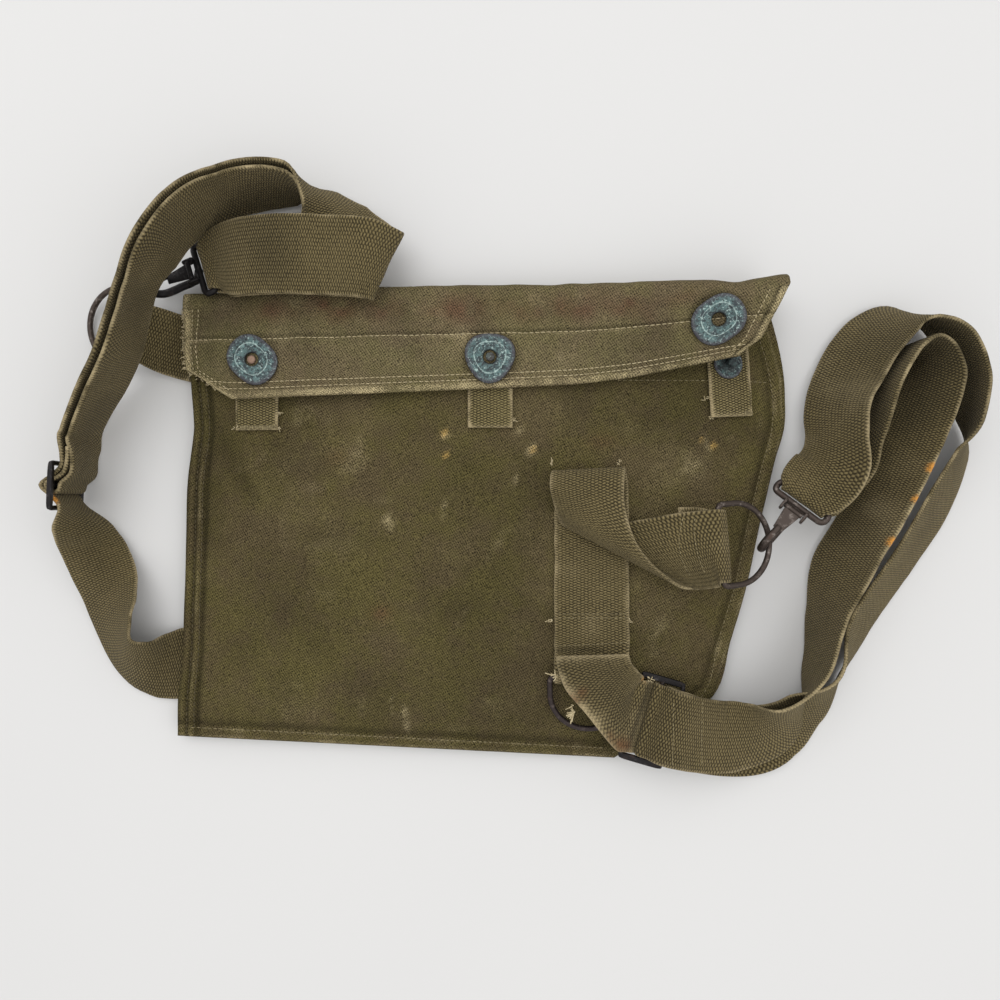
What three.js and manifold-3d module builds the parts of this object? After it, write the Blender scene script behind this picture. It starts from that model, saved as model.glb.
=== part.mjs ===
// Canvas gas mask bag lying on its back: pouch, closing flap, snaps, webbing straps, rings, hooks and slides.
// Millimetres, +Z up, the bag's mouth towards +Y. The surface that the bag lies on is z = 0.
import * as THREE from 'three';
import { mergeVertices } from 'three/addons/utils/BufferGeometryUtils.js';
import Module from 'manifold-3d';

// Driving sizes
const canvasThick = 1.4; // one wall of canvas
const flapThick = 2.0; // two plies with their hem
const seamWidth = 6; // flat seam round the pouch
const seamMid = 6; // height of the seam's middle
const puffHeight = 9.6; // rise of the front wall above the seam
const puffReach = 24; // distance over which the front wall rises
const backReach = 22; // distance over which the back wall comes down to the surface
const webWidth = 38;
const webThick = 1.8;
const tabWidth = 23;
const chapeWidth = 33;
const gap = 0.3; // clearance between pieces that touch
const ringGather = 0.94; // share of its width that webbing keeps where it is drawn together on a ring
const hookGather = 0.66; // the same on a hook's narrow bar
const hookFlare = 1.36; // how much wider a strap is again just beside a hook's bar
const ringWire = 1.45; // radius
const ringBar = 40.5; // straight side of a ring, between wire centres
const ringDepth = 30;
const ringCorner = 3;
const hookWire = 1.6; // radius of the wire of a snap hook's strap loop
const hookStem = 2.1; // radius of its stem
const hookLoop = 6.1; // spacing of the two bars of its strap loop
const hookBar = 29; // length of those bars between wire centres
const hookReach = 21.5; // front bar to the middle of the hook's bend
const hookBend = 6.4; // radius of the bend
const tongueWidth = 10;
const tongueNarrow = 5; // its width at the tip
const tongueThick = 1;
const tongueRoot = 3.7; // front bar to the tongue's pivot
const tongueTip = 16.1;
const slideLong = 46; // along its bars
const slideShort = 24;
const slideThick = 2.4;
const socketRadius = 12.6;
const socketThick = 2;
const studRadius = 7.8;
const studPost = 2.3;
const snapHole = 3.3;
const originX = 10.3; // middle of the whole footprint, seen from above
const originY = 10;

// Edges of the pouch, a row for each section from the bottom seam to the mouth
const pouchSections = [
  { leftX: -169.5, leftY: -124, rightX: 60, rightY: -135.5 },
  { leftX: -169.2, leftY: -104, rightX: 112, rightY: -103 },
  { leftX: -167, leftY: -80, rightX: 121, rightY: -74 },
  { leftX: -166, leftY: -50, rightX: 130, rightY: -44 },
  { leftX: -165, leftY: -20, rightX: 136.5, rightY: -13 },
  { leftX: -164, leftY: 12, rightX: 143.5, rightY: 16 },
  { leftX: -161, leftY: 38, rightX: 149.5, rightY: 40 },
  { leftX: -163, leftY: 62, rightX: 148, rightY: 64 },
  { leftX: -165, leftY: 90, rightX: 141, rightY: 90 },
];

// Flap, a row for each section from its left end to its right end
const flapSections = [
  { x: -166, foldY: 108, top: 8, hemY: 55, hemZ: 11.5 },
  { x: -150, foldY: 108.5, top: 9.5, hemY: 53, hemZ: 17 },
  { x: -134, foldY: 109, top: 13, hemY: 51, hemZ: 20.8 },
  { x: -100, foldY: 109, top: 17, hemY: 52.5, hemZ: 22 },
  { x: -50, foldY: 109.5, top: 18.2, hemY: 54.5, hemZ: 22.2 },
  { x: 0, foldY: 110, top: 19.6, hemY: 56.5, hemZ: 22.2 },
  { x: 40, foldY: 110.5, top: 20, hemY: 58.5, hemZ: 22.2 },
  { x: 65, foldY: 111, top: 22, hemY: 61.5, hemZ: 22.8 },
  { x: 90, foldY: 111, top: 26.5, hemY: 66, hemZ: 26 },
  { x: 112, foldY: 110.5, top: 33, hemY: 70, hemZ: 31 },
  { x: 141, foldY: 110, top: 37, hemY: 74, hemZ: 34 },
];
// Course of the flap from its root over the fold: back from the fold, share of the height
const foldCourse = [
  { back: 5.6, rise: 0 },
  { back: 2.2, rise: 0.08 },
  { back: 0.4, rise: 0.28 },
  { back: 0, rise: 0.5 },
  { back: 0.6, rise: 0.76 },
  { back: 2.6, rise: 0.93 },
  { back: 6.5, rise: 1 },
];
const flapRoot = 1.3; // height of the root's middle
const clipStart = 0.73; // share of the drop where the corner clips begin
const leanLeft = 5; // slope of the left end above its clip
const clipLeft = 25;
const clipRight = 23;

// Snaps: place of each stud, and of its socket on the flap (turn, soft corners and how far these stand out)
const snaps = [
  { name: 'left', x: -125, y: 71, socketX: -125, socketY: 71,
    turn: -42, corners: 2, stand: 0.09, tabEnd: 35, seat: 0.3 },
  { name: 'middle', x: -5, y: 72, socketX: -5, socketY: 72,
    turn: 28, corners: 3, stand: 0.06, tabEnd: 36, seat: 0.3 },
  { name: 'right', x: 117, y: 70, socketX: 108, socketY: 89,
    turn: 34, corners: 2, stand: 0.09, tabEnd: 42, seat: 0.9 },
];

// Hardware poses: a middle, the direction along the bar and the way it points
const hardware = {
  ring_left: { at: [-188.6, 89.5, 8.8], bar: [0.17, 0.979, 0.11], out: [-0.985, 0.17, -0.2] },
  ring_right: { at: [108.5, -22.5, 33], bar: [-0.08, 0.997, 0], out: [0.92, 0.07, -0.38] },
  ring_lower: { at: [45.5, -89, 20.4], bar: [1, 0.03, 0], out: [0.03, -1, -0.24] },
  hook_left: { at: [-156.2, 119, 11.8], bar: [-0.335, 0.92, -0.22], out: [-0.935, -0.353, -0.1] },
  hook_right: { at: [150.6, -3.3, 21.9], bar: [0.7, -0.616, 0.36], out: [-0.66, -0.75, 0] },
  slide_left: { at: [-218, 7, 24], bar: [0.205, 0, 0.979], out: [0.04, 1, 0] },
  slide_right: { at: [77.3, -112, 19.3], bar: [0.28, 0.96, 0], out: [0.96, -0.28, 0] },
};

// Strap courses, a row for each turn: middle of the strap, and the way from its first edge to its second
// (head: degrees round from +X, tilt: degrees up, slant: 1 where that way is kept on a slanted fold)
const leftLower = [
  { leftX: -157, leftY: -68, leftZ: 1.9, rightX: -159, rightY: -106, rightZ: 1.7 },
  { leftX: -168, leftY: -67.8, leftZ: 2.2, rightX: -171.5, rightY: -106, rightZ: 1.6 },
  { leftX: -176, leftY: -70.4, leftZ: 7, rightX: -181.5, rightY: -105.5, rightZ: 1.4 },
  { leftX: -179, leftY: -72.2, leftZ: 20, rightX: -192, rightY: -101.3, rightZ: 1.3 },
  { leftX: -184.6, leftY: -70, leftZ: 26, rightX: -202.7, rightY: -91.7, rightZ: 1.4 },
  { leftX: -185.2, leftY: -59.2, leftZ: 25, rightX: -212.4, rightY: -74.5, rightZ: 2 },
  { leftX: -185.5, leftY: -48.5, leftZ: 18.5, rightX: -218.7, rightY: -56, rightZ: 5 },
  { leftX: -189.5, leftY: -37, leftZ: 10, rightX: -222.6, rightY: -39.4, rightZ: 12 },
  { leftX: -196.3, leftY: -25, leftZ: 5, rightX: -222.4, rightY: -25.6, rightZ: 23 },
  { leftX: -204.8, leftY: -13.4, leftZ: 4.6, rightX: -217, rightY: -14.8, rightZ: 38 },
];
const leftDouble = [
  { x: -212.5, y: 33, z: 21, head: 0, tilt: 79 },
  { x: -198.5, y: 57, z: 26, head: 0, tilt: 86 },
  { x: -186, y: 75, z: 34, head: 0, tilt: 86 },
  { x: -181, y: 90, z: 35.5, head: 0, tilt: 85 },
  { x: -176, y: 105, z: 37, head: 0, tilt: 83 },
  { x: -166.5, y: 122, z: 38, head: 135, tilt: 88 },
  { x: -156.5, y: 140.5, z: 31, head: 130, tilt: 86 },
  { x: -141, y: 154.8, z: 21.5, head: 120, tilt: 83 },
  { x: -122, y: 160, z: 20.5, head: 95, tilt: 80 },
  { x: -105, y: 160, z: 20.6, head: 80, tilt: 86 },
  { x: -92.5, y: 154, z: 19.2, head: -120, tilt: 62 },
  { x: -83.5, y: 142, z: 17.4, head: -121, tilt: 28 },
  { x: -68, y: 125, z: 21.8, head: -119, tilt: 14 },
  { x: -58.2, y: 117.6, z: 28, head: -113, tilt: 4, slant: 1 },
  { x: -66, y: 118.6, z: 33, head: -104, tilt: -6 },
  { x: -88, y: 120.6, z: 31.4, head: -95, tilt: -10 },
  { x: -112, y: 122, z: 28.6, head: -90, tilt: -8 },
  { x: -130, y: 122.2, z: 24, head: -85, tilt: -2 },
];
const doubleGap = 2.2; // each of the two runs lies this far from their common course
const rightStart = [
  { leftX: 27.9, leftY: -77.8, leftZ: 27.3, rightX: 64.3, rightY: -76.8, rightZ: 27.3 },
  { leftX: 28.4, leftY: -83.3, leftZ: 27.2, rightX: 65.3, rightY: -80.3, rightZ: 27.2 },
  { leftX: 32.9, leftY: -94.8, leftZ: 27, rightX: 68.3, rightY: -84.8, rightZ: 27 },
  { leftX: 45, leftY: -109.5, leftZ: 26, rightX: 72, rightY: -88.5, rightZ: 26 },
];
const rightOuter = [
  { x: 108, y: -124, z: 11, head: 76, tilt: 2 },
  { x: 132, y: -127.5, z: 4.5, head: 84, tilt: 4 },
  { x: 145, y: -121, z: 7.5, head: 103, tilt: 18 },
  { x: 157, y: -109.5, z: 11.5, head: 118, tilt: 36 },
  { x: 173, y: -91, z: 18, head: 142, tilt: 64 },
  { x: 184, y: -65.5, z: 16, head: 153, tilt: 49 },
  { x: 207.5, y: -30.5, z: 16, head: 160, tilt: 47 },
  { x: 225, y: -3, z: 15.5, head: 168, tilt: 44 },
  { x: 236.5, y: 23, z: 17, head: 172, tilt: 52 },
  { x: 238.5, y: 43, z: 20.3, head: 178, tilt: 78 },
  { x: 237.5, y: 62, z: 20.5, head: 190, tilt: 88 },
  { x: 230, y: 82, z: 20.5, head: -100, tilt: 86 },
  { x: 218, y: 92, z: 20, head: -80, tilt: 76 },
  { x: 206, y: 94, z: 19, head: -55, tilt: 62 },
  { x: 195, y: 88, z: 18, head: -35, tilt: 54 },
  { x: 186, y: 78, z: 17.5, head: -26, tilt: 52 },
  { x: 178, y: 64, z: 18, head: -18, tilt: 52 },
  { x: 170, y: 48, z: 23, head: -20, tilt: 62 },
  { x: 167.5, y: 32, z: 27, head: -30, tilt: 64 },
  { x: 165.5, y: 17.5, z: 27, head: -36, tilt: 43 },
];
const rightInner = [
  { x: 176, y: 21, z: 18.5, head: -48, tilt: 56 },
  { x: 184.5, y: 34, z: 19.8, head: -20, tilt: 82 },
  { x: 195, y: 60, z: 20, head: 0, tilt: 88 },
  { x: 206, y: 76, z: 20, head: 0, tilt: 90 },
  { x: 213.5, y: 80, z: 20, head: 0, tilt: 90 },
  { x: 219.5, y: 75, z: 20, head: 0, tilt: 86 },
  { x: 219.5, y: 62, z: 19.6, head: -24, tilt: 66 },
  { x: 213, y: 44, z: 18.8, head: -16, tilt: 58 },
  { x: 201, y: 17, z: 18, head: -6, tilt: 54 },
  { x: 188.5, y: -9, z: 19, head: -4, tilt: 62 },
  { x: 175, y: -32, z: 19, head: 0, tilt: 62 },
  { x: 165.5, y: -60, z: 20, head: 0, tilt: 84 },
  { x: 161, y: -84, z: 20.3, head: 150, tilt: 86 },
  { x: 150, y: -107.5, z: 21.5, head: 118, tilt: 52 },
  { x: 134.5, y: -119, z: 17.5, head: 97, tilt: 22 },
  { x: 114, y: -121, z: 18.8, head: 80, tilt: 3 },
];
// The front webbing where it turns over at the top, comes down and folds under on a slant: both of its edges
const frontTurn = [
  { leftX: 27.4, leftY: 7, leftZ: 18.9, rightX: 65.4, rightY: 8.4, rightZ: 18.9 },
  { leftX: 25.9, leftY: 14, leftZ: 22.6, rightX: 63.4, rightY: 16, rightZ: 22.6 },
  { leftX: 25, leftY: 9, leftZ: 26.2, rightX: 62, rightY: 11, rightZ: 27 },
  { leftX: 25.4, leftY: 3, leftZ: 26.2, rightX: 61.6, rightY: 2, rightZ: 29 },
  { leftX: 26.8, leftY: -2, leftZ: 25.8, rightX: 63.3, rightY: -10, rightZ: 31 },
  { leftX: 27.9, leftY: -5.5, leftZ: 25.3, rightX: 67.6, rightY: -21.5, rightZ: 32 },
  { leftX: 28.7, leftY: -7.5, leftZ: 24.9, rightX: 75.5, rightY: -32, rightZ: 31.6 },
  { leftX: 29.3, leftY: -9, leftZ: 24.4, rightX: 85.6, rightY: -40.4, rightZ: 30.4 },
  { leftX: 31.5, leftY: -12, leftZ: 22.8, rightX: 91.6, rightY: -43.9, rightZ: 27.8 },
  { leftX: 35.4, leftY: -12.3, leftZ: 21.2, rightX: 96.4, rightY: -44.8, rightZ: 25.2 },
  { leftX: 46, leftY: -12.6, leftZ: 21.2, rightX: 99.4, rightY: -45, rightZ: 25.7 },
  { leftX: 58, leftY: -11.8, leftZ: 22, rightX: 101.4, rightY: -44.8, rightZ: 27 },
  { leftX: 72, leftY: -9.6, leftZ: 25, rightX: 104.4, rightY: -44, rightZ: 29.4 },
  { leftX: 88, leftY: -6.5, leftZ: 30.5, rightX: 107.6, rightY: -42.8, rightZ: 32.8 },
];
// Course of a strap through a slide, in the slide's own plane: along the strap, and up from the plane.
// The running strap dips round the middle bar, and the sewn end lies inside it.
const slideRunning = [
  { along: -14, up: 3.4 },
  { along: -10, up: 3.1 },
  { along: -5.5, up: 0 },
  { along: 0, up: -5.5 },
  { along: 5.5, up: 0 },
  { along: 10, up: 3.1 },
  { along: 14, up: 3.2 },
];
const slideSewn = [
  { along: 14, up: 7.9 },
  { along: 6, up: 7.5 },
  { along: 1.2, up: 3.4 },
  { along: -2.2, up: 2.4 },
  { along: -3.2, up: 0 },
  { along: 0, up: -3.2 },
  { along: 2.4, up: -2.2 },
  { along: 3.3, up: 0 },
  { along: 6.3, up: 3.9 },
  { along: 11.5, up: 5.5 },
  { along: 19, up: 5.5 },
];

const materials = {
  canvas: new THREE.MeshStandardMaterial({ color: 0x5d5640, roughness: 0.95 }),
  webbing: new THREE.MeshStandardMaterial({ color: 0x6b5f45, roughness: 0.95 }),
  steel: new THREE.MeshStandardMaterial({ color: 0x2c2723, roughness: 0.6, metalness: 0.7 }),
  brass: new THREE.MeshStandardMaterial({ color: 0x4f6466, roughness: 0.65, metalness: 0.6 }),
};

const wasm = await Module();
wasm.setup();

const vec = (x, y, z) => new THREE.Vector3(x, y, z);
const clamp01 = (t) => Math.min(1, Math.max(0, t));
const smooth = (t) => clamp01(t) ** 2 * (3 - 2 * clamp01(t));
const mix = (a, b, t) => a + (b - a) * t;

// Value of one column of a table at a place along another column, joined by straight lines
function lookUp(table, key, value, at) {
  const last = table.length - 1;
  let i = 0;
  while (i < last - 1 && at > table[i + 1][key]) i += 1;
  const share = clamp01((at - table[i][key]) / (table[i + 1][key] - table[i][key]));
  return mix(table[i][value], table[i + 1][value], share);
}

// Closed geometry from shared points and triangles
function closed(points, triangles) {
  const geometry = new THREE.BufferGeometry();
  geometry.setAttribute('position', new THREE.Float32BufferAttribute(points.flat(), 3));
  geometry.setIndex(triangles.flat());
  geometry.computeVertexNormals();
  return geometry;
}

function toSolid(geometry) {
  const bare = geometry.clone();
  bare.deleteAttribute('normal');
  bare.deleteAttribute('uv');
  const merged = mergeVertices(bare, 1e-3);
  const mesh = new wasm.Mesh({
    numProp: 3,
    vertProperties: new Float32Array(merged.attributes.position.array),
    triVerts: new Uint32Array(merged.index.array),
  });
  return new wasm.Manifold(mesh);
}

function toGeometry(solid) {
  const mesh = solid.getMesh();
  const geometry = new THREE.BufferGeometry();
  geometry.setAttribute('position', new THREE.BufferAttribute(new Float32Array(mesh.vertProperties), 3));
  geometry.setIndex(new THREE.BufferAttribute(new Uint32Array(mesh.triVerts), 1));
  geometry.computeVertexNormals();
  return geometry;
}

// Solid between two sheets of points on the same grid: top[j][i] and under[j][i]
function sheetSolid(top, under) {
  const rows = top.length;
  const cols = top[0].length;
  const points = [...top.flat(), ...under.flat()];
  const tri = [];
  const T = (j, i) => j * cols + i;
  const U = (j, i) => rows * cols + j * cols + i;
  for (let j = 0; j < rows - 1; j += 1) {
    for (let i = 0; i < cols - 1; i += 1) {
      tri.push([T(j, i), T(j, i + 1), T(j + 1, i + 1)], [T(j, i), T(j + 1, i + 1), T(j + 1, i)]);
      tri.push([U(j, i), U(j + 1, i + 1), U(j, i + 1)], [U(j, i), U(j + 1, i), U(j + 1, i + 1)]);
    }
  }
  const rim = [];
  for (let i = 0; i < cols - 1; i += 1) rim.push([0, i, 0, i + 1]);
  for (let j = 0; j < rows - 1; j += 1) rim.push([j, cols - 1, j + 1, cols - 1]);
  for (let i = cols - 1; i > 0; i -= 1) rim.push([rows - 1, i, rows - 1, i - 1]);
  for (let j = rows - 1; j > 0; j -= 1) rim.push([j, 0, j - 1, 0]);
  for (const [j0, i0, j1, i1] of rim) {
    tri.push([T(j0, i0), U(j0, i0), U(j1, i1)], [T(j0, i0), U(j1, i1), T(j1, i1)]);
  }
  return closed(points, tri);
}

// Frame of a piece of hardware: x along its bar, y the way it points, z square to both
function frameOf(name) {
  const { at, bar, out } = hardware[name];
  const alongBar = vec(...bar).normalize();
  const outward = vec(...out);
  outward.addScaledVector(alongBar, -outward.dot(alongBar)).normalize();
  const up = alongBar.clone().cross(outward);
  return { at: vec(...at), alongBar, outward, up };
}

function place(frame, x, y, z) {
  return frame.at.clone().addScaledVector(frame.alongBar, x)
    .addScaledVector(frame.outward, y).addScaledVector(frame.up, z);
}

function poseMesh(mesh, frame) {
  const basis = new THREE.Matrix4().makeBasis(frame.alongBar, frame.outward, frame.up);
  mesh.quaternion.setFromRotationMatrix(basis);
  mesh.position.copy(frame.at);
  return mesh;
}

// Ribbon of webbing through its stations, a rectangle of width and thickness swept along them.
// It lies square across its course, or between two edges given by a row on a slanted fold.
function station(row) {
  if (row.point) return row;
  if (row.leftX !== undefined) {
    const left = vec(row.leftX, row.leftY, row.leftZ);
    const right = vec(row.rightX, row.rightY, row.rightZ);
    const across = right.clone().sub(left).divideScalar(webWidth);
    return { point: left.lerp(right, 0.5), across, slant: 1 };
  }
  const head = THREE.MathUtils.degToRad(row.head);
  const tilt = THREE.MathUtils.degToRad(row.tilt);
  return {
    point: vec(row.x, row.y, row.z),
    across: vec(Math.cos(tilt) * Math.cos(head), Math.cos(tilt) * Math.sin(head), Math.sin(tilt)),
    slant: row.slant,
  };
}

function ribbon(rows, width = webWidth, thick = webThick, pace = 8) {
  const stops = rows.map(station);
  const middle = new THREE.CatmullRomCurve3(stops.map((s) => s.point), false, 'centripetal');
  const tips = new THREE.CatmullRomCurve3(stops.map((s) => s.across), false, 'catmullrom', 0.3);
  const spans = stops.length - 1;
  const slantOf = (k) => stops[k].slant || 0;
  const top = [];
  const under = [];
  for (let k = 0; k < spans; k += 1) {
    const reach = stops[k].point.distanceTo(stops[k + 1].point);
    const steps = Math.max(2, Math.round(reach / pace));
    for (let n = k ? 1 : 0; n <= steps; n += 1) {
      const t = (k + n / steps) / spans;
      const centre = middle.getPoint(t);
      const way = middle.getTangent(t);
      const tip = tips.getPoint(t);
      const square = tip.clone().addScaledVector(way, -tip.dot(way)).normalize();
      const across = square.lerp(tip, mix(slantOf(k), slantOf(k + 1), n / steps));
      const face = way.clone().cross(across).normalize();
      const edge = (side, level) =>
        centre.clone().addScaledVector(across, side * width / 2)
          .addScaledVector(face, level * thick / 2).toArray();
      top.push([edge(-1, -1), edge(1, -1)]);
      under.push([edge(-1, 1), edge(1, 1)]);
    }
  }
  return sheetSolid(top, under);
}

// Stations round a bar: from one side of it over the front to the other side
function roundBar(centre, across, front, side, radius, lead = 1.2, flare = 1) {
  const spot = (f, s, wide) => ({
    point: centre.clone().addScaledVector(front, f * radius).addScaledVector(side, s * radius),
    across: across.clone().multiplyScalar(wide),
    slant: 1,
  });
  const half = (1 + flare) / 2;
  const arc = [spot(0, 1, half), spot(0.71, 0.71, 1), spot(1, 0, 1), spot(0.71, -0.71, 1), spot(0, -1, half)];
  return [spot(-lead, 1, flare), ...arc, spot(-lead, -1, flare)];
}

function throughSlide(name, course, flip) {
  const frame = frameOf(name);
  return course.map(({ along, up }) => ({
    point: place(frame, 0, along, flip * up),
    across: frame.alongBar.clone(),
    slant: 1,
  }));
}

// The two runs of a doubled strap, beside their common course
function beside(rows, offset) {
  const stops = rows.map(station);
  const curve = new THREE.CatmullRomCurve3(stops.map((s) => s.point), false, 'centripetal');
  return stops.map((s, k) => {
    const way = curve.getTangent(k / (stops.length - 1));
    const square = s.across.clone().addScaledVector(way, -s.across.dot(way)).normalize();
    const face = way.clone().cross(square);
    const across = s.slant ? s.across : square;
    return { point: s.point.clone().addScaledVector(face, offset), across, slant: s.slant };
  });
}

// Edges of the pouch as smooth curves, and distances from them
const leftEdge = new THREE.CatmullRomCurve3(
  pouchSections.map((s) => vec(s.leftX, s.leftY, 0)), false, 'centripetal');
const rightEdge = new THREE.CatmullRomCurve3(
  pouchSections.map((s) => vec(s.rightX, s.rightY, 0)), false, 'centripetal');
const bottomLeft = pouchSections[0];
const cornerCut = pouchSections[1];
const bottomY = (x) => mix(
  bottomLeft.leftY, bottomLeft.rightY, (x - bottomLeft.leftX) / (bottomLeft.rightX - bottomLeft.leftX));
function inset(x, y) {
  const left = x - lookUp(pouchSections, 'leftY', 'leftX', y);
  const right = lookUp(pouchSections, 'rightY', 'rightX', y) - x;
  const cutX = cornerCut.rightX - bottomLeft.rightX;
  const cutY = cornerCut.rightY - bottomLeft.rightY;
  const cut = ((y - bottomLeft.rightY) * cutX - (x - bottomLeft.rightX) * cutY) / Math.hypot(cutX, cutY);
  return { left, right: y < cornerCut.rightY ? cut : Math.min(right, cut), bottom: y - bottomY(x) };
}
const swell = (d) => 1 - Math.exp(-Math.max(0, d - seamWidth) / puffReach);

// Top of the front wall
function frontTop(x, y) {
  const { left, right, bottom } = inset(x, y);
  const rise = swell(left) * swell(right) * swell(bottom);
  return seamMid + canvasThick + puffHeight * rise;
}

// Underside of the back wall, flat on the surface apart from the rim
function backUnder(x, y) {
  const { left, right, bottom } = inset(x, y);
  const nearest = Math.min(left, right, bottom);
  return (seamMid - canvasThick) * (1 - smooth((nearest - seamWidth) / (backReach - seamWidth)));
}

// Places of the pouch's grid lines: close together in the seam and the rise beside it
const acrossShares = [
  0, 0.018, 0.035, 0.06, 0.1, 0.16, 0.23, 0.31, 0.4, 0.5, 0.6, 0.69, 0.77, 0.84, 0.9, 0.94, 0.965, 0.982, 1];
const upShares = [0, 0.027, 0.05, 0.085, 0.14, 0.21, 0.29, 0.38, 0.47, 0.56, 0.65, 0.74, 0.83, 0.92, 1];
function pouchPoint(u, v, extra) {
  const left = leftEdge.getPoint(v);
  const right = rightEdge.getPoint(v);
  const spot = left.lerp(right, u);
  spot.y += extra;
  return spot;
}

function buildPouch() {
  const wall = (levelTop, levelUnder, beyond) => {
    const top = [];
    const under = [];
    for (const v of upShares) {
      const rowTop = [];
      const rowUnder = [];
      for (const u of acrossShares) {
        const spot = pouchPoint(u, v, beyond * smooth((v - 0.6) / 0.4));
        rowTop.push([spot.x, spot.y, levelTop(spot.x, Math.min(spot.y, 90))]);
        rowUnder.push([spot.x, spot.y, levelUnder(spot.x, Math.min(spot.y, 90))]);
      }
      top.push(rowTop);
      under.push(rowUnder);
    }
    return toSolid(sheetSolid(top, under));
  };
  const join = 0.06; // the two walls meet in the seam
  const front = wall(frontTop, (x, y) => frontTop(x, y) - canvasThick - join, 0);
  const back = wall((x, y) => backUnder(x, y) + canvasThick + join, backUnder, 12.5);
  return toGeometry(front.add(back));
}

// Flap surface: u from the left end to the right end, t along the course from root to hem
function flapPoint(u, t) {
  const foldShare = 0.34;
  const run = Math.max(0, (t - foldShare) / (1 - foldShare));
  const clip = smooth((run - clipStart) / (1 - clipStart)) * (run > clipStart ? 1 : 0);
  const first = flapSections[0].x + leanLeft * run + clipLeft * clamp01((run - clipStart) / (1 - clipStart));
  const lastX = flapSections[flapSections.length - 1].x;
  const final = lastX - clipRight * mix(run, clip, 0.3);
  const x = mix(first, final, u);
  const at = (column) => lookUp(flapSections, 'x', column, x);
  const course = clamp01(t / foldShare) * (foldCourse.length - 1);
  const i = Math.min(foldCourse.length - 2, Math.floor(course));
  const share = course - i;
  const back = mix(foldCourse[i].back, foldCourse[i + 1].back, share);
  const rise = mix(foldCourse[i].rise, foldCourse[i + 1].rise, share);
  const lastBack = foldCourse[foldCourse.length - 1].back;
  const y = run > 0 ? mix(at('foldY') - lastBack, at('hemY'), run) : at('foldY') - back;
  const z = run > 0 ? mix(at('top'), at('hemZ'), smooth(run / 0.55)) : mix(flapRoot, at('top'), rise);
  return vec(x, y, z);
}

function flapNormal(u, t) {
  const e = 0.004;
  const du = flapPoint(Math.min(1, u + e), t).sub(flapPoint(Math.max(0, u - e), t));
  const dt = flapPoint(u, Math.min(1, t + e)).sub(flapPoint(u, Math.max(0, t - e)));
  return dt.cross(du).normalize();
}

function snapFrame(snap) {
  // finds the flap's place above a snap by halving steps in u and t
  let u = 0.5;
  let t = 0.6;
  for (let step = 0.25; step > 1e-4; step *= 0.72) {
    const p = flapPoint(u, t);
    u += (p.x < snap.socketX ? 1 : -1) * step;
    t += (p.y > snap.socketY ? 1 : -1) * step * 0.6;
    u = clamp01(u);
    t = Math.min(1, Math.max(0.35, t));
  }
  const up = flapNormal(u, t);
  const turn = THREE.MathUtils.degToRad(snap.turn);
  const alongBar = vec(Math.cos(turn), Math.sin(turn), 0);
  alongBar.addScaledVector(up, -alongBar.dot(up)).normalize();
  return { at: flapPoint(u, t), alongBar, outward: up.clone().cross(alongBar), up };
}

// Ring of points round a D: straight bar, round corners, a round bow
function ringPath() {
  const half = ringBar / 2;
  const path = new THREE.CurvePath();
  const v2 = (x, y) => vec(x, y, 0);
  path.add(new THREE.LineCurve3(v2(-half + ringCorner, 0), v2(half - ringCorner, 0)));
  path.add(new THREE.QuadraticBezierCurve3(v2(half - ringCorner, 0), v2(half, 0), v2(half, ringCorner)));
  path.add(new THREE.LineCurve3(v2(half, ringCorner), v2(half, ringDepth - half)));
  const k = 0.5523 * half;
  const low = ringDepth - half;
  path.add(new THREE.CubicBezierCurve3(v2(half, low), v2(half, low + k), v2(k, ringDepth), v2(0, ringDepth)));
  path.add(new THREE.CubicBezierCurve3(
    v2(0, ringDepth), v2(-k, ringDepth), v2(-half, low + k), v2(-half, low)));
  path.add(new THREE.LineCurve3(v2(-half, low), v2(-half, ringCorner)));
  path.add(new THREE.QuadraticBezierCurve3(v2(-half, ringCorner), v2(-half, 0), v2(-half + ringCorner, 0)));
  return path;
}

function loopTube(path, radius, count, sides) {
  return new THREE.TubeGeometry(path, count, radius, sides, true);
}

function rodAlong(curve, radius, steps, sides) {
  const section = new THREE.Shape();
  for (let k = 0; k <= sides; k += 1) {
    const a = (k / sides) * 2 * Math.PI;
    if (k === 0) section.moveTo(radius, 0);
    else if (k < sides) section.lineTo(radius * Math.cos(a), radius * Math.sin(a));
  }
  section.closePath();
  return new THREE.ExtrudeGeometry(section, { steps, extrudePath: curve, bevelEnabled: false });
}

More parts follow.
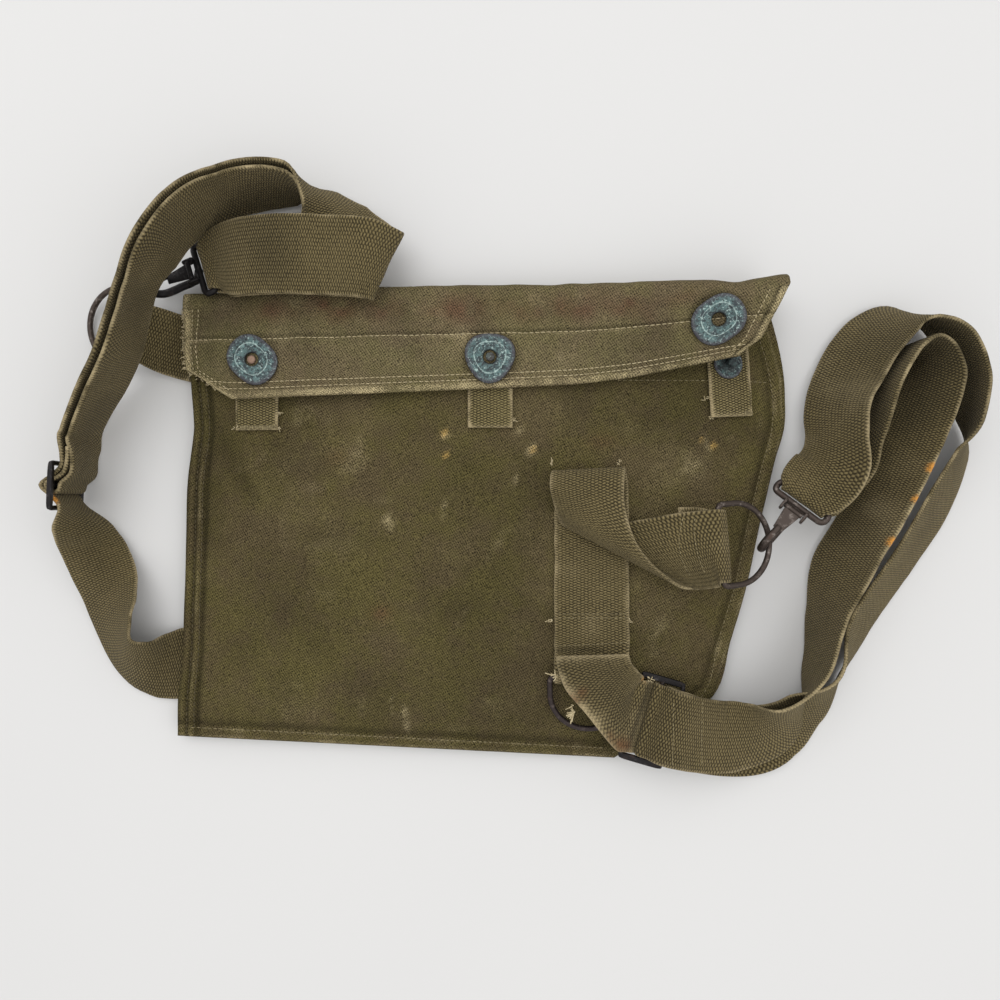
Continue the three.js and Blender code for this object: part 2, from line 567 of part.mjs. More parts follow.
// Snap hook: strap loop of wire, a stem under it that bends up and back over, and two lugs for the tongue.
// Own frame: x along the bars, y towards the bend, z up.
function buildHook(lift) {
  const half = hookBar / 2;
  const corner = 3;
  const loop = new THREE.CurvePath();
  const p = (x, y) => vec(x, y, 0);
  const far = -hookLoop;
  loop.add(new THREE.LineCurve3(p(-half + corner, 0), p(half - corner, 0)));
  loop.add(new THREE.QuadraticBezierCurve3(p(half - corner, 0), p(half, 0), p(half, -corner)));
  loop.add(new THREE.LineCurve3(p(half, -corner), p(half, far + corner)));
  loop.add(new THREE.QuadraticBezierCurve3(p(half, far + corner), p(half, far), p(half - corner, far)));
  loop.add(new THREE.LineCurve3(p(half - corner, far), p(-half + corner, far)));
  loop.add(new THREE.QuadraticBezierCurve3(p(-half + corner, far), p(-half, far), p(-half, far + corner)));
  loop.add(new THREE.LineCurve3(p(-half, far + corner), p(-half, -corner)));
  loop.add(new THREE.QuadraticBezierCurve3(p(-half, -corner), p(-half, 0), p(-half + corner, 0)));
  const bend = [];
  bend.push(vec(0, 0, 0), vec(0, 4, -hookBend * 0.7 * lift));
  bend.push(vec(0, 8, -hookBend * lift), vec(0, 14, -hookBend * lift));
  for (let k = 0; k <= 6; k += 1) {
    const a = (k / 6) * Math.PI;
    bend.push(vec(0, hookReach + hookBend * Math.sin(a), -hookBend * Math.cos(a) * lift));
  }
  bend.push(vec(0, hookReach - 6.5, hookBend * lift));
  const stem = rodAlong(new THREE.CatmullRomCurve3(bend, false, 'centripetal'), hookStem, 16, 6);
  const lug = (side) => {
    const g = new THREE.BoxGeometry(1.6, 6.4, 4.6);
    g.translate(side * (tongueWidth / 2 + gap + 0.8), 3.4, 1.6 * lift);
    return toSolid(g);
  };
  let solid = toSolid(loopTube(loop, hookWire, 32, 6)).add(toSolid(stem));
  const bridge = new THREE.BoxGeometry(tongueWidth + 3.8, 2.4, 2.4);
  bridge.translate(0, 0.6, -0.4 * lift);
  solid = solid.add(toSolid(bridge)).add(lug(1)).add(lug(-1));
  return toGeometry(solid);
}

// Tongue: a flat spring plate from its pivot barrel to just under the hook's nose
function buildTongue(lift) {
  const rootZ = 3 * lift;
  const tipZ = (hookBend - hookStem - gap - 0.7) * lift;
  const barrel = new THREE.CylinderGeometry(1.3, 1.3, tongueWidth, 10);
  barrel.rotateZ(Math.PI / 2);
  barrel.translate(0, tongueRoot, rootZ);
  const reach = tongueTip - tongueRoot;
  const outline = new THREE.Shape();
  outline.moveTo(-tongueWidth / 2 + 0.4, -reach / 2);
  outline.lineTo(tongueWidth / 2 - 0.4, -reach / 2);
  outline.lineTo(tongueNarrow / 2, reach / 2);
  outline.lineTo(-tongueNarrow / 2, reach / 2);
  outline.closePath();
  const plate = new THREE.ExtrudeGeometry(outline, { depth: tongueThick, bevelEnabled: false });
  plate.translate(0, 0, -tongueThick / 2);
  plate.rotateX(Math.atan2(tipZ - rootZ, reach));
  plate.translate(0, (tongueTip + tongueRoot) / 2, (rootZ + tipZ) / 2);
  return toGeometry(toSolid(barrel).add(toSolid(plate)));
}

// Slide: a rounded plate with two slots and the middle bar between them
function buildSlide() {
  const rounded = (path, w, h, r, cx) => {
    path.moveTo(cx - w / 2 + r, -h / 2);
    path.lineTo(cx + w / 2 - r, -h / 2);
    path.quadraticCurveTo(cx + w / 2, -h / 2, cx + w / 2, -h / 2 + r);
    path.lineTo(cx + w / 2, h / 2 - r);
    path.quadraticCurveTo(cx + w / 2, h / 2, cx + w / 2 - r, h / 2);
    path.lineTo(cx - w / 2 + r, h / 2);
    path.quadraticCurveTo(cx - w / 2, h / 2, cx - w / 2, h / 2 - r);
    path.lineTo(cx - w / 2, -h / 2 + r);
    path.quadraticCurveTo(cx - w / 2, -h / 2, cx - w / 2 + r, -h / 2);
    return path;
  };
  const barHalf = slideThick / 2;
  const slot = slideShort / 2 - slideThick - barHalf;
  const plate = rounded(new THREE.Shape(), slideShort, slideLong, 3, 0);
  for (const side of [-1, 1]) {
    plate.holes.push(rounded(new THREE.Path(), slot, webWidth + 1.4, 1.2, side * (barHalf + slot / 2)));
  }
  const g = new THREE.ExtrudeGeometry(plate, { depth: slideThick, bevelEnabled: false, curveSegments: 3 });
  g.translate(0, 0, -slideThick / 2);
  g.rotateZ(-Math.PI / 2);
  return g;
}

// Socket plate with soft corners, a raised ring and a hole
function buildSocket(corners, stand) {
  const sides = 20;
  const rim = (path, radius, bulge) => {
    for (let k = 0; k < sides; k += 1) {
      const a = (k / sides) * 2 * Math.PI;
      const r = radius * (1 + bulge * Math.cos(corners * a));
      if (k === 0) path.moveTo(r, 0);
      else path.lineTo(r * Math.cos(a), r * Math.sin(a));
    }
    path.closePath();
    return path;
  };
  const hole = () => {
    const path = new THREE.Path();
    for (let k = 0; k < 12; k += 1) {
      const a = (k / 12) * 2 * Math.PI;
      if (k === 0) path.moveTo(snapHole, 0);
      else path.lineTo(snapHole * Math.cos(a), snapHole * Math.sin(a));
    }
    path.closePath();
    return path;
  };
  const layer = (radius, bulge, from, depth) => {
    const shape = rim(new THREE.Shape(), radius, bulge);
    shape.holes.push(hole());
    const g = new THREE.ExtrudeGeometry(shape, { depth, bevelEnabled: false });
    g.translate(0, 0, from);
    return toSolid(g);
  };
  const low = layer(socketRadius, stand, 0, 1.2);
  const high = layer(socketRadius * 0.66, stand, 1, socketThick - 1);
  return toGeometry(low.add(high));
}

function buildStud(height) {
  const profile = [
    [0, 0], [studRadius, 0], [studRadius, 0.8], [studRadius - 1.4, 1.2], [studPost, 1.2],
    [studPost - 0.4, height - 1.8], [studPost, height - 0.9], [studPost - 0.8, height], [0, height],
  ];
  const g = new THREE.LatheGeometry(profile.map(([r, z]) => new THREE.Vector2(r, z)), 14);
  g.rotateX(Math.PI / 2);
  return g;
}

// Assembly, with the origin moved to the middle of the footprint
const bag = new THREE.Group();
bag.position.set(-originX, -originY, 0);
function addMesh(name, geometry, material, frame) {
  const mesh = new THREE.Mesh(geometry, materials[material]);
  mesh.name = name;
  if (frame) poseMesh(mesh, frame);
  bag.add(mesh);
  return mesh;
}

addMesh('pouch', buildPouch(), 'canvas');

const flapAcross = 22;
const flapTop = [];
const flapUnder = [];
const flapSteps = [0, 0.06, 0.12, 0.17, 0.22, 0.27, 0.31, 0.34, 0.44, 0.55, 0.65, 0.74, 0.822, 0.88, 0.94, 1];
for (const t of flapSteps) {
  const rowTop = [];
  const rowUnder = [];
  for (let i = 0; i <= flapAcross; i += 1) {
    const middle = flapPoint(i / flapAcross, t);
    const normal = flapNormal(i / flapAcross, t);
    rowTop.push(middle.clone().addScaledVector(normal, flapThick / 2).toArray());
    rowUnder.push(middle.clone().addScaledVector(normal, -flapThick / 2).toArray());
  }
  flapTop.unshift(rowTop);
  flapUnder.unshift(rowUnder);
}
let flap = toSolid(sheetSolid(flapTop, flapUnder));

for (const snap of snaps) {
  const tabRows = [];
  for (const y of [83, 77, 70, 60, 50, snap.tabEnd + 1]) {
    const skew = (83 - y) * (snap.name === 'right' ? 0.06 : 0);
    const x = snap.x + skew;
    const low = frontTop(x - tabWidth / 2, y);
    const high = frontTop(x + tabWidth / 2, y);
    const bed = Math.max((low + high) / 2, frontTop(x, y));
    const tilt = THREE.MathUtils.radToDeg(Math.atan2(high - low, tabWidth));
    tabRows.push({ x, y, z: bed + gap + webThick / 2, head: 0, tilt });
  }
  addMesh('stud_tab_' + snap.name, ribbon(tabRows, tabWidth, webThick, 8), 'webbing');
  const frame = snapFrame(snap);
  const drill = new THREE.CylinderGeometry(snapHole, snapHole, 12, 12);
  drill.rotateX(Math.PI / 2);
  const bore = poseMesh(new THREE.Mesh(drill), frame);
  bore.updateMatrix();
  flap = flap.subtract(toSolid(drill.clone().applyMatrix4(bore.matrix)));
  const seat = { ...frame, at: frame.at.clone().addScaledVector(frame.up, flapThick / 2 + snap.seat) };
  addMesh('snap_socket_' + snap.name, buildSocket(snap.corners, snap.stand), 'brass', seat);
  const upward = tabRows.slice().reverse();
  const lean = THREE.MathUtils.degToRad(lookUp(upward, 'y', 'tilt', snap.y));
  const rise = lookUp(upward, 'y', 'z', snap.y + studRadius) - lookUp(upward, 'y', 'z', snap.y - studRadius);
  const studBar = vec(Math.cos(lean), 0, Math.sin(lean));
  const studOut = vec(0, 2 * studRadius, rise).normalize();
  const studUp = studBar.clone().cross(studOut);
  const studAt = vec(snap.x, snap.y, lookUp(upward, 'y', 'z', snap.y))
    .addScaledVector(studUp, webThick / 2 + gap);
  const studFrame = { at: studAt, alongBar: studBar, outward: studUp.clone().cross(studBar), up: studUp };
  addMesh('snap_stud_' + snap.name, buildStud(6), 'brass', studFrame);
}
addMesh('flap', toGeometry(flap), 'canvas');

// Rings, hooks, tongues and slides
for (const name of ['ring_left', 'ring_right', 'ring_lower']) {
  addMesh(name, loopTube(ringPath(), ringWire, 30, 6), 'steel', frameOf(name));
}
for (const side of ['left', 'right']) {
  const frame = frameOf('hook_' + side);
  const lift = frame.up.z > 0 ? 1 : -1;
  addMesh('hook_' + side, buildHook(lift), 'steel', frame);
  addMesh('tongue_' + side, buildTongue(lift), 'steel', frame);
  addMesh('slide_' + side, buildSlide(), 'steel', frameOf('slide_' + side));
}

// Webbing
const barRound = (wire) => wire + 1.5 * gap + webThick / 2;

const hookL = frameOf('hook_left');
const upL = hookL.up.clone().multiplyScalar(Math.sign(hookL.up.z));
const backBarL = place(hookL, 0, -hookLoop, 0);
const acrossL = hookL.alongBar.clone().multiplyScalar(-hookGather);
addMesh('strap_left', ribbon([
  ...leftLower,
  ...throughSlide('slide_left', slideRunning.slice(1), -1),
  ...beside(leftDouble, -doubleGap),
  ...roundBar(backBarL, acrossL, hookL.outward, upL.clone().negate(), barRound(hookWire), 1.3, hookFlare),
  ...beside(leftDouble, doubleGap).reverse(),
  ...throughSlide('slide_left', slideSewn, -1),
]), 'webbing');

const hookR = frameOf('hook_right');
const upR = hookR.up.clone().multiplyScalar(Math.sign(hookR.up.z));
const backBarR = place(hookR, 0, -hookLoop, 0);
addMesh('strap_right', ribbon([
  ...rightStart,
  ...throughSlide('slide_right', slideRunning, -1),
  ...rightOuter,
  ...roundBar(backBarR, hookR.alongBar.clone().multiplyScalar(hookGather), hookR.outward, upR,
    barRound(hookWire), 1.3, hookFlare),
  ...rightInner,
  ...throughSlide('slide_right', slideSewn, -1),
]), 'webbing');

const ringLow = frameOf('ring_lower');
const ringRight = frameOf('ring_right');
const lay = (y, plies) => ({
  x: 46.8,
  y,
  z: Math.max(frontTop(30, y), frontTop(64, y), frontTop(47, y)) + plies * (gap + webThick) - webThick / 2,
  head: 2,
  tilt: 0,
});
addMesh('front_webbing', ribbon([
  lay(-68, 1),
  lay(-79, 1.3),
  ...roundBar(ringLow.at, vec(ringGather, 0.03, 0), vec(0, -1, 0), vec(0, 0, -1), barRound(ringWire)),
  lay(-78, 2.6),
  lay(-62, 2),
  lay(-48, 1.4),
  lay(-30, 1.1),
  lay(-8, 1.1),
  ...frontTurn,
  ...roundBar(ringRight.at, ringRight.alongBar.clone().multiplyScalar(-ringGather),
    vec(0.95, 0, -0.3).normalize(), vec(0.3, 0, 0.95).normalize(), barRound(ringWire)),
  { x: 97, y: -22.5, z: 27, head: -82, tilt: 0 },
  { x: 89, y: -22.3, z: 25, head: -76, tilt: 0 },
]), 'webbing');

const ringL = frameOf('ring_left');
const chapeWay = vec(0.93, -0.25, -0.27);
chapeWay.addScaledVector(ringL.alongBar, -chapeWay.dot(ringL.alongBar)).normalize();
const chapeUp = chapeWay.clone().cross(ringL.alongBar).normalize();
const chapeMid = place(ringL, -2.2, 0, 0);
addMesh('chape_left', ribbon([
  { x: -161, y: 79, z: 1.25, head: 79, tilt: 0 },
  { x: -171, y: 81.5, z: 1.3, head: 79, tilt: 1 },
  ...roundBar(chapeMid, ringL.alongBar.clone().multiplyScalar(ringGather),
    chapeWay.clone().negate(), chapeUp.clone().negate(), barRound(ringWire), 0.6),
  { x: -171, y: 81.5, z: 3.6, head: 79, tilt: 1 },
  { x: -161, y: 79, z: 3.35, head: 79, tilt: 0 },
], chapeWidth), 'webbing');

export default bag;
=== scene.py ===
import math
import bpy
import numpy as np
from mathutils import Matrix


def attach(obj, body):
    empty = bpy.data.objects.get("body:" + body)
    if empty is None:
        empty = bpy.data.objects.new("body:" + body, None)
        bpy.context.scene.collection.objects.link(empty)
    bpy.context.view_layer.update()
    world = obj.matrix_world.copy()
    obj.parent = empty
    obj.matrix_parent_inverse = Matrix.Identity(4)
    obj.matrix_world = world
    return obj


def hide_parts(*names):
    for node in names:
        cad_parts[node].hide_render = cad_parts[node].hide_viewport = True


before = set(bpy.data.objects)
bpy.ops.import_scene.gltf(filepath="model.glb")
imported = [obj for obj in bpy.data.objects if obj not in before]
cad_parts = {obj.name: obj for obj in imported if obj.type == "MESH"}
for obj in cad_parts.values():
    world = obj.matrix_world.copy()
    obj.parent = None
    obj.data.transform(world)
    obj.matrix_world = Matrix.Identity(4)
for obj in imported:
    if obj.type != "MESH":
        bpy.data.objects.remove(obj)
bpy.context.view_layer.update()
footMiddle = np.array([10.3, 10.0, 0.0])  # mm, middle of the footprint in the layout below
print("frame loaded")

# camera straight above the table, set from the photograph's scale
view = {"height": 0.400, "tableWidth": 0.535, "sensor": 36.0}
cameraData = bpy.data.cameras.new("camera")
cameraData.sensor_width = view["sensor"]
cameraData.lens = view["sensor"] * view["height"] / view["tableWidth"]
cameraData.clip_start = 0.01
camera = bpy.data.objects.new("camera", cameraData)
camera.location = (-footMiddle[0] / 1000, -footMiddle[1] / 1000, view["height"])
bpy.context.scene.collection.objects.link(camera)
bpy.context.scene.camera = camera
bpy.context.scene.view_settings.view_transform = "Standard"


# numbers and curves

def smooth(t):
    t = np.clip(t, 0, 1)
    return t * t * (3 - 2 * t)


def mix(a, b, t):
    return a + (b - a) * t


def unit(v):
    return v / np.maximum(np.linalg.norm(v, axis=-1, keepdims=True), 1e-9)


def bump(d, width):
    return np.exp(-(d / width) ** 2)


# value noise: random heights on a lattice, joined by smooth steps, about -1 to 1
def softNoise(x, y, cell, seed):
    lattice = np.random.default_rng(seed).uniform(-1, 1, (64, 64))
    gx = np.asarray(x, float) / cell
    gy = np.asarray(y, float) / cell
    ix = np.floor(gx).astype(int)
    iy = np.floor(gy).astype(int)
    fx = smooth(gx - ix)
    fy = smooth(gy - iy)
    at = lambda a, b: lattice[a % 64, b % 64]
    low = mix(at(ix, iy), at(ix + 1, iy), fx)
    high = mix(at(ix, iy + 1), at(ix + 1, iy + 1), fx)
    return mix(low, high, fy)


# cubic through points: span says which pair, local how far along it; knots by square root of distance,
# or plain slopes of a given tightness
def splineAt(points, span, local, tightness=None):
    ends = np.vstack([2 * points[0] - points[1], points, 2 * points[-1] - points[-2]])
    p0, p1, p2, p3 = (ends[span + k] for k in range(4))
    if tightness is None:
        reach = lambda a, b: np.maximum(np.sum((a - b) ** 2, -1, keepdims=True) ** 0.25, 1e-4)
        d0, d1, d2 = reach(p0, p1), reach(p1, p2), reach(p2, p3)
        m1 = ((p1 - p0) / d0 - (p2 - p0) / (d0 + d1) + (p2 - p1) / d1) * d1
        m2 = ((p2 - p1) / d1 - (p3 - p1) / (d1 + d2) + (p3 - p2) / d2) * d1
    else:
        m1 = tightness * (p2 - p0)
        m2 = tightness * (p3 - p1)
    t = np.asarray(local)[:, None]
    return p1 + m1 * t + (3 * (p2 - p1) - 2 * m1 - m2) * t ** 2 + (2 * (p1 - p2) + m1 + m2) * t ** 3


def curveAt(points, share):
    course = np.clip(share, 0, 1) * (len(points) - 1)
    span = np.minimum(course.astype(int), len(points) - 2)
    return splineAt(points, span, course - span)


# meshes

def gridFaces(rows, cols, closeRows=False, closeCols=False):
    r = np.arange(rows if closeRows else rows - 1)
    c = np.arange(cols if closeCols else cols - 1)
    r, c = np.meshgrid(r, c, indexing="ij")
    r1 = (r + 1) % rows
    c1 = (c + 1) % cols
    corners = [r * cols + c, r * cols + c1, r1 * cols + c1, r1 * cols + c]
    return np.stack([k.ravel() for k in corners], 1)


def makePiece(name, points, faces, body, material, uv=None, marks=None, caps=(), replaced=()):
    mesh = bpy.data.meshes.new(name)
    allFaces = np.asarray(faces).tolist() + [list(c) for c in caps]
    mesh.from_pydata(((points - footMiddle) / 1000).tolist(), [], allFaces)
    corner = np.empty(len(mesh.loops), np.int32)
    mesh.loops.foreach_get("vertex_index", corner)
    if uv is not None:
        layer = mesh.uv_layers.new(name="cloth")
        layer.data.foreach_set("uv", np.asarray(uv, np.float32)[corner].ravel())
    for key, values in (marks or {}).items():
        mesh.attributes.new(key, "FLOAT", "POINT").data.foreach_set("value", np.asarray(values, np.float32))
    mesh.polygons.foreach_set("use_smooth", np.ones(len(mesh.polygons), bool))
    mesh.materials.append(material)
    mesh.update()
    piece = bpy.data.objects.new(name, mesh)
    bpy.context.scene.collection.objects.link(piece)
    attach(piece, body)
    if replaced:
        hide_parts(*replaced)
    return piece


# closed wall between two grids of points: top, underside and the rim that joins them
def wall(top, under):
    rows, cols = top.shape[:2]
    count = rows * cols
    upper = gridFaces(rows, cols)
    lower = gridFaces(rows, cols)[:, ::-1] + count
    edge = np.concatenate([np.arange(cols), np.arange(1, rows) * cols + cols - 1,
                           (rows - 1) * cols + np.arange(cols - 2, -1, -1),
                           np.arange(rows - 2, 0, -1) * cols])
    after = np.roll(edge, -1)
    rim = np.stack([edge, edge + count, after + count, after], 1)
    return np.concatenate([top.reshape(-1, 3), under.reshape(-1, 3)]), np.concatenate([upper, lower, rim])


# round wire along a flat path: circle carried along it, one axis the path's own plane normal
def wire(path, normal, radius, sides=14, closed=True):
    step = np.roll(path, -1, 0) - np.roll(path, 1, 0) if closed else np.gradient(path, axis=0)
    way = unit(step)
    flat = np.broadcast_to(normal, way.shape)
    side = unit(np.cross(flat, way))
    turn = np.linspace(0, 2 * np.pi, sides, endpoint=False)
    size = np.broadcast_to(radius, (len(path),))[:, None, None]
    ring = side[:, None] * np.cos(turn)[:, None] + np.cross(way, side)[:, None] * np.sin(turn)[:, None]
    points = path[:, None] + ring * size
    faces = gridFaces(len(path), sides, closed, True)
    caps = [] if closed else [list(range(sides))[::-1], [(len(path) - 1) * sides + k for k in range(sides)]]
    return points.reshape(-1, 3), faces, caps


def joined(parts):
    points, faces, caps, start = [], [], [], 0
    for p, f, c in parts:
        points.append(p)
        faces.append(np.asarray(f) + start)
        caps += [[k + start for k in cap] for cap in c]
        start += len(p)
    return np.concatenate(points), np.concatenate(faces), caps


# block with rounded edges: a box's grid pulled onto a superellipsoid
def softBlock(size, middle, power=6, count=16):
    a = np.linspace(-np.pi / 2, np.pi / 2, count)
    b = np.linspace(-np.pi, np.pi, 2 * count, endpoint=False)
    a, b = np.meshgrid(a, b, indexing="ij")
    curve = lambda v: np.sign(v) * np.abs(v) ** (2 / power)
    shape = np.stack([curve(np.cos(a)) * curve(np.cos(b)), curve(np.cos(a)) * curve(np.sin(b)),
                      curve(np.sin(a))], -1)
    points = (shape * np.array(size) / 2 + np.array(middle)).reshape(-1, 3)
    return points, gridFaces(count, 2 * count, False, True), []


# materials

class Value:
    # a socket in a node tree; sums and products of values add Math nodes
    def __init__(self, paint, socket):
        self.paint = paint
        self.socket = socket

    def combine(self, operation, a, b=None):
        return self.paint.node("ShaderNodeMath", {"operation": operation}, [a] if b is None else [a, b])

    def __add__(self, other):
        return self.combine("ADD", self, other)

    def __sub__(self, other):
        return self.combine("SUBTRACT", self, other)

    def __rsub__(self, other):
        return self.combine("SUBTRACT", other, self)

    def __mul__(self, other):
        return self.combine("MULTIPLY", self, other)

    __radd__ = __add__
    __rmul__ = __mul__

    def sine(self):
        return self.combine("SINE", self)

    def fold(self):
        return self.combine("PINGPONG", self, 1.0)

    def between(self, low, high):
        return self.paint.node("ShaderNodeMapRange", {"interpolation_type": "SMOOTHSTEP"},
                               {"Value": self, "From Min": low, "From Max": high})


class Paint:
    # one material's node tree
    def __init__(self, name, **fixed):
        self.material = bpy.data.materials.new(name)
        self.material.use_nodes = True
        self.tree = self.material.node_tree
        self.shader = self.tree.nodes["Principled BSDF"]
        for key, value in fixed.items():
            self.shader.inputs[key.replace("_", " ")].default_value = value

    def put(self, socket, value):
        if isinstance(value, Value):
            self.tree.links.new(value.socket, socket)
        else:
            isColour = len(np.shape(value)) and len(socket.default_value) == 4
            socket.default_value = (*value, 1.0) if isColour else value

    def node(self, kind, settings=None, inputs=(), output=0):
        made = self.tree.nodes.new(kind)
        for key, value in (settings or {}).items():
            setattr(made, key, value)
        pairs = inputs.items() if isinstance(inputs, dict) else enumerate(inputs)
        for key, value in pairs:
            self.put(made.inputs[key], value)
        return Value(self, made.outputs[output])

    def blend(self, factor, a, b, how="MIX"):
        sockets = {0: factor, 6: a, 7: b}
        return self.node("ShaderNodeMix", {"data_type": "RGBA", "blend_type": how}, sockets, 2)

    def shade(self, colour, value):
        return self.blend(1.0, colour, value, "MULTIPLY")

    def mark(self, name):
        return self.node("ShaderNodeAttribute", {"attribute_name": name}, (), "Fac")

    def place(self, coords):
        return self.node("ShaderNodeTexCoord", None, (), coords)

    def noise(self, scale, detail=3.0, rough=0.55):
        return self.node("ShaderNodeTexNoise", None,
                         {"Vector": self.place("Object"), "Scale": scale, "Detail": detail,
                                                      "Roughness": rough}, "Fac")

    def axes(self):
        split = self.tree.nodes.new("ShaderNodeSeparateXYZ")
        self.put(split.inputs[0], self.place("UV"))
        return Value(self, split.outputs[0]), Value(self, split.outputs[1])

    def relief(self, height, strength, distance):
        return self.node("ShaderNodeBump", None,
                         {"Strength": strength, "Distance": distance, "Height": height})

    def finish(self, colour=None, rough=None, metal=None, normal=None):
        for key, value in (("Base Color", colour), ("Roughness", rough), ("Metallic", metal),
                           ("Normal", normal)):
            if value is not None:
                self.put(self.shader.inputs[key], value)
        return self.material


def srgb(r, g, b):
    share = np.array([r, g, b]) / 255
    return tuple(np.where(share <= 0.04045, share / 12.92, ((share + 0.055) / 1.055) ** 2.4).tolist())


canvasLook = {"olive": srgb(84, 77, 46), "brown": srgb(81, 71, 50), "faded": srgb(112, 101, 72),
              "worn": srgb(172, 158, 122), "yellow": srgb(166, 136, 78), "red": srgb(88, 58, 46),
              "twill": 1.3}
flapLook = {**canvasLook, "olive": srgb(98, 91, 62), "brown": srgb(97, 86, 65), "faded": srgb(127, 117, 88)}


# twill: two sets of slanting lines on the cloth, broken by noise, over olive and brown patches
def canvasMaterial(name, look):
    paint = Paint(name, Roughness=0.93, Specular_IOR_Level=0.1)
    u, v = paint.axes()
    grain = paint.noise(1750, 2.0)
    pitch = 2 * math.pi / look["twill"]
    lines = ((u + v * 0.6) * pitch + grain * 2.4).sine()
    cross = ((u * 0.5 - v) * pitch * 0.8 + grain * 2.0).sine()
    weave = lines * 0.6 + cross * 0.4
    colour = paint.blend(paint.noise(34, 5.0, 0.7).between(0.34, 0.66), look["olive"], look["brown"])
    colour = paint.blend(paint.noise(22, 5.0, 0.7).between(0.44, 0.8) * 0.4, colour, look["faded"])
    colour = paint.blend((paint.mark("wear") * (0.35 + grain * 1.3)).between(0.1, 1.05) * 0.85, colour,
                         look["worn"])
    colour = paint.blend((paint.mark("yellow") * (0.1 + grain * 1.4)).between(0.1, 1.1), colour,
                         look["yellow"])
    colour = paint.blend(paint.mark("red") * (0.3 + grain * 1.0), colour, look["red"])
    colour = paint.shade(colour, weave * 0.5 + (grain - 0.5) * 3.6 + 1.0)
    # darkened by dirt and by painted shade in grooves, folds and creases, carried in one mark
    colour = paint.shade(colour, 1.0 - paint.mark("dirt") * 0.6)
    normal = paint.relief(weave * 0.5 + grain * 0.7, 0.6, 0.0006)
    return paint.finish(colour, None, None, normal)


webLook = {"dark": srgb(45, 39, 24), "pale": srgb(124, 111, 76), "worn": srgb(178, 162, 126),
           "rust": srgb(100, 60, 38),
           "orange": srgb(204, 140, 60), "column": 1.9, "bead": 1.32}


# webbing: columns of beads, each column half a bead on from its neighbour, with dark grooves between
def webMaterial(name, look):
    paint = Paint(name, Roughness=0.92, Specular_IOR_Level=0.1, Sheen_Weight=0.12, Sheen_Roughness=0.6,
                  Sheen_Tint=(1.0, 0.86, 0.62, 1.0))
    u, v = paint.axes()
    grain = paint.noise(1300, 2.0)
    across = (u * (math.pi / look["column"])).sine()
    lean = (u * (1 / look["column"])).fold()
    beads = across * (v * (2 * math.pi / look["bead"]) + lean * 1.5 + grain * 1.5).sine()
    weave = beads * 0.5 + across * across * 0.25
    tone = weave + (grain - 0.5) * 0.9 + paint.noise(24, 4.0, 0.6) * 0.4 + 0.02
    colour = paint.blend(tone.between(-0.02, 0.82), look["dark"], look["pale"])
    rubbed = paint.mark("wear") * (0.3 + grain * 1.0 + weave * 0.5)
    colour = paint.blend(rubbed.between(0.12, 1.0) * 0.85, colour, look["worn"])
    # darkened by dirt and by painted shade in creases and deep gaps, carried in one mark
    colour = paint.shade(colour, 1.0 - paint.mark("dirt") * 0.65)
    colour = paint.blend((paint.mark("rust") * (grain * 1.2 + weave * 0.5)).between(0.05, 0.8) * 0.7,
                         colour, look["rust"])
    colour = paint.blend((paint.mark("orange") * (grain * 1.8)).between(0.1, 0.75), colour, look["orange"])
    normal = paint.relief(weave * 0.7 + grain * 0.4, 0.9, 0.0008)
    return paint.finish(colour, None, None, normal)


steelLook = {"dark": srgb(72, 63, 58), "worn": srgb(136, 127, 121), "rust": srgb(76, 52, 41)}


def steelMaterial(name, look, rustShare):
    paint = Paint(name)
    spots = paint.noise(320, 5.0, 0.7)
    fine = paint.noise(1800, 3.0, 0.6)
    colour = paint.blend(spots.between(0.52, 0.72), look["dark"], look["worn"])
    rust = paint.noise(140, 5.0, 0.75).between(0.62 - rustShare, 0.8 - rustShare)
    colour = paint.blend(rust * (0.4 + fine), colour, look["rust"])
    rough = 0.42 + rust * 0.35 + fine * 0.15
    metal = 0.75 - rust * 0.6
    return paint.finish(colour, rough, metal, paint.relief(spots + fine * 0.5, 0.35, 0.0003))


patinaLook = {"slate": srgb(54, 64, 68), "violet": srgb(78, 73, 80), "teal": srgb(92, 118, 118),
              "pale": srgb(188, 210, 206),
              "dark": srgb(28, 29, 30), "bare": srgb(158, 128, 108)}


# patina: slate and teal blotches, a violet rim, pale salts in flecks and along the raised line, dark pits,
# painted shade in the hollows
def patinaMaterial(name, look):
    paint = Paint(name)
    spots = paint.noise(360, 5.0, 0.7)
    fine = paint.noise(900, 4.0, 0.7)
    pits = paint.noise(1150, 3.0, 0.6)
    colour = paint.blend(spots.between(0.42, 0.58), look["slate"], look["teal"])
    colour = paint.blend(paint.mark("rim") * (0.35 + spots * 0.9), colour, look["violet"])
    colour = paint.blend(fine.between(0.54, 0.66) * (1.0 - paint.mark("rim") * 0.6) * 0.85, colour,
                         look["pale"])
    colour = paint.blend(pits.between(0.47, 0.34) * 0.85, colour, look["dark"])
    colour = paint.blend((paint.mark("raised") * (spots * 0.8 + fine * 0.7)).between(0.4, 0.9) * 0.85,
                         colour, look["pale"])
    # painted shade: dark in the socket's hole, under its outer rim and down the stud's post
    colour = paint.blend(paint.mark("hollowShade"), colour, look["dark"])
    colour = paint.blend(paint.mark("bare") * (0.3 + fine), colour, look["bare"])
    return paint.finish(colour, 0.42 + fine * 0.3, 0.35, paint.relief(spots * 0.6 + fine, 0.9, 0.0005))


threadLook = {"pale": srgb(150, 138, 104), "dark": srgb(96, 86, 60)}


def threadMaterial(name, dark, pale):
    paint = Paint(name, Roughness=0.9)
    fine = paint.noise(900, 2.0)
    return paint.finish(paint.blend(fine.between(0.3, 0.7), dark, pale))


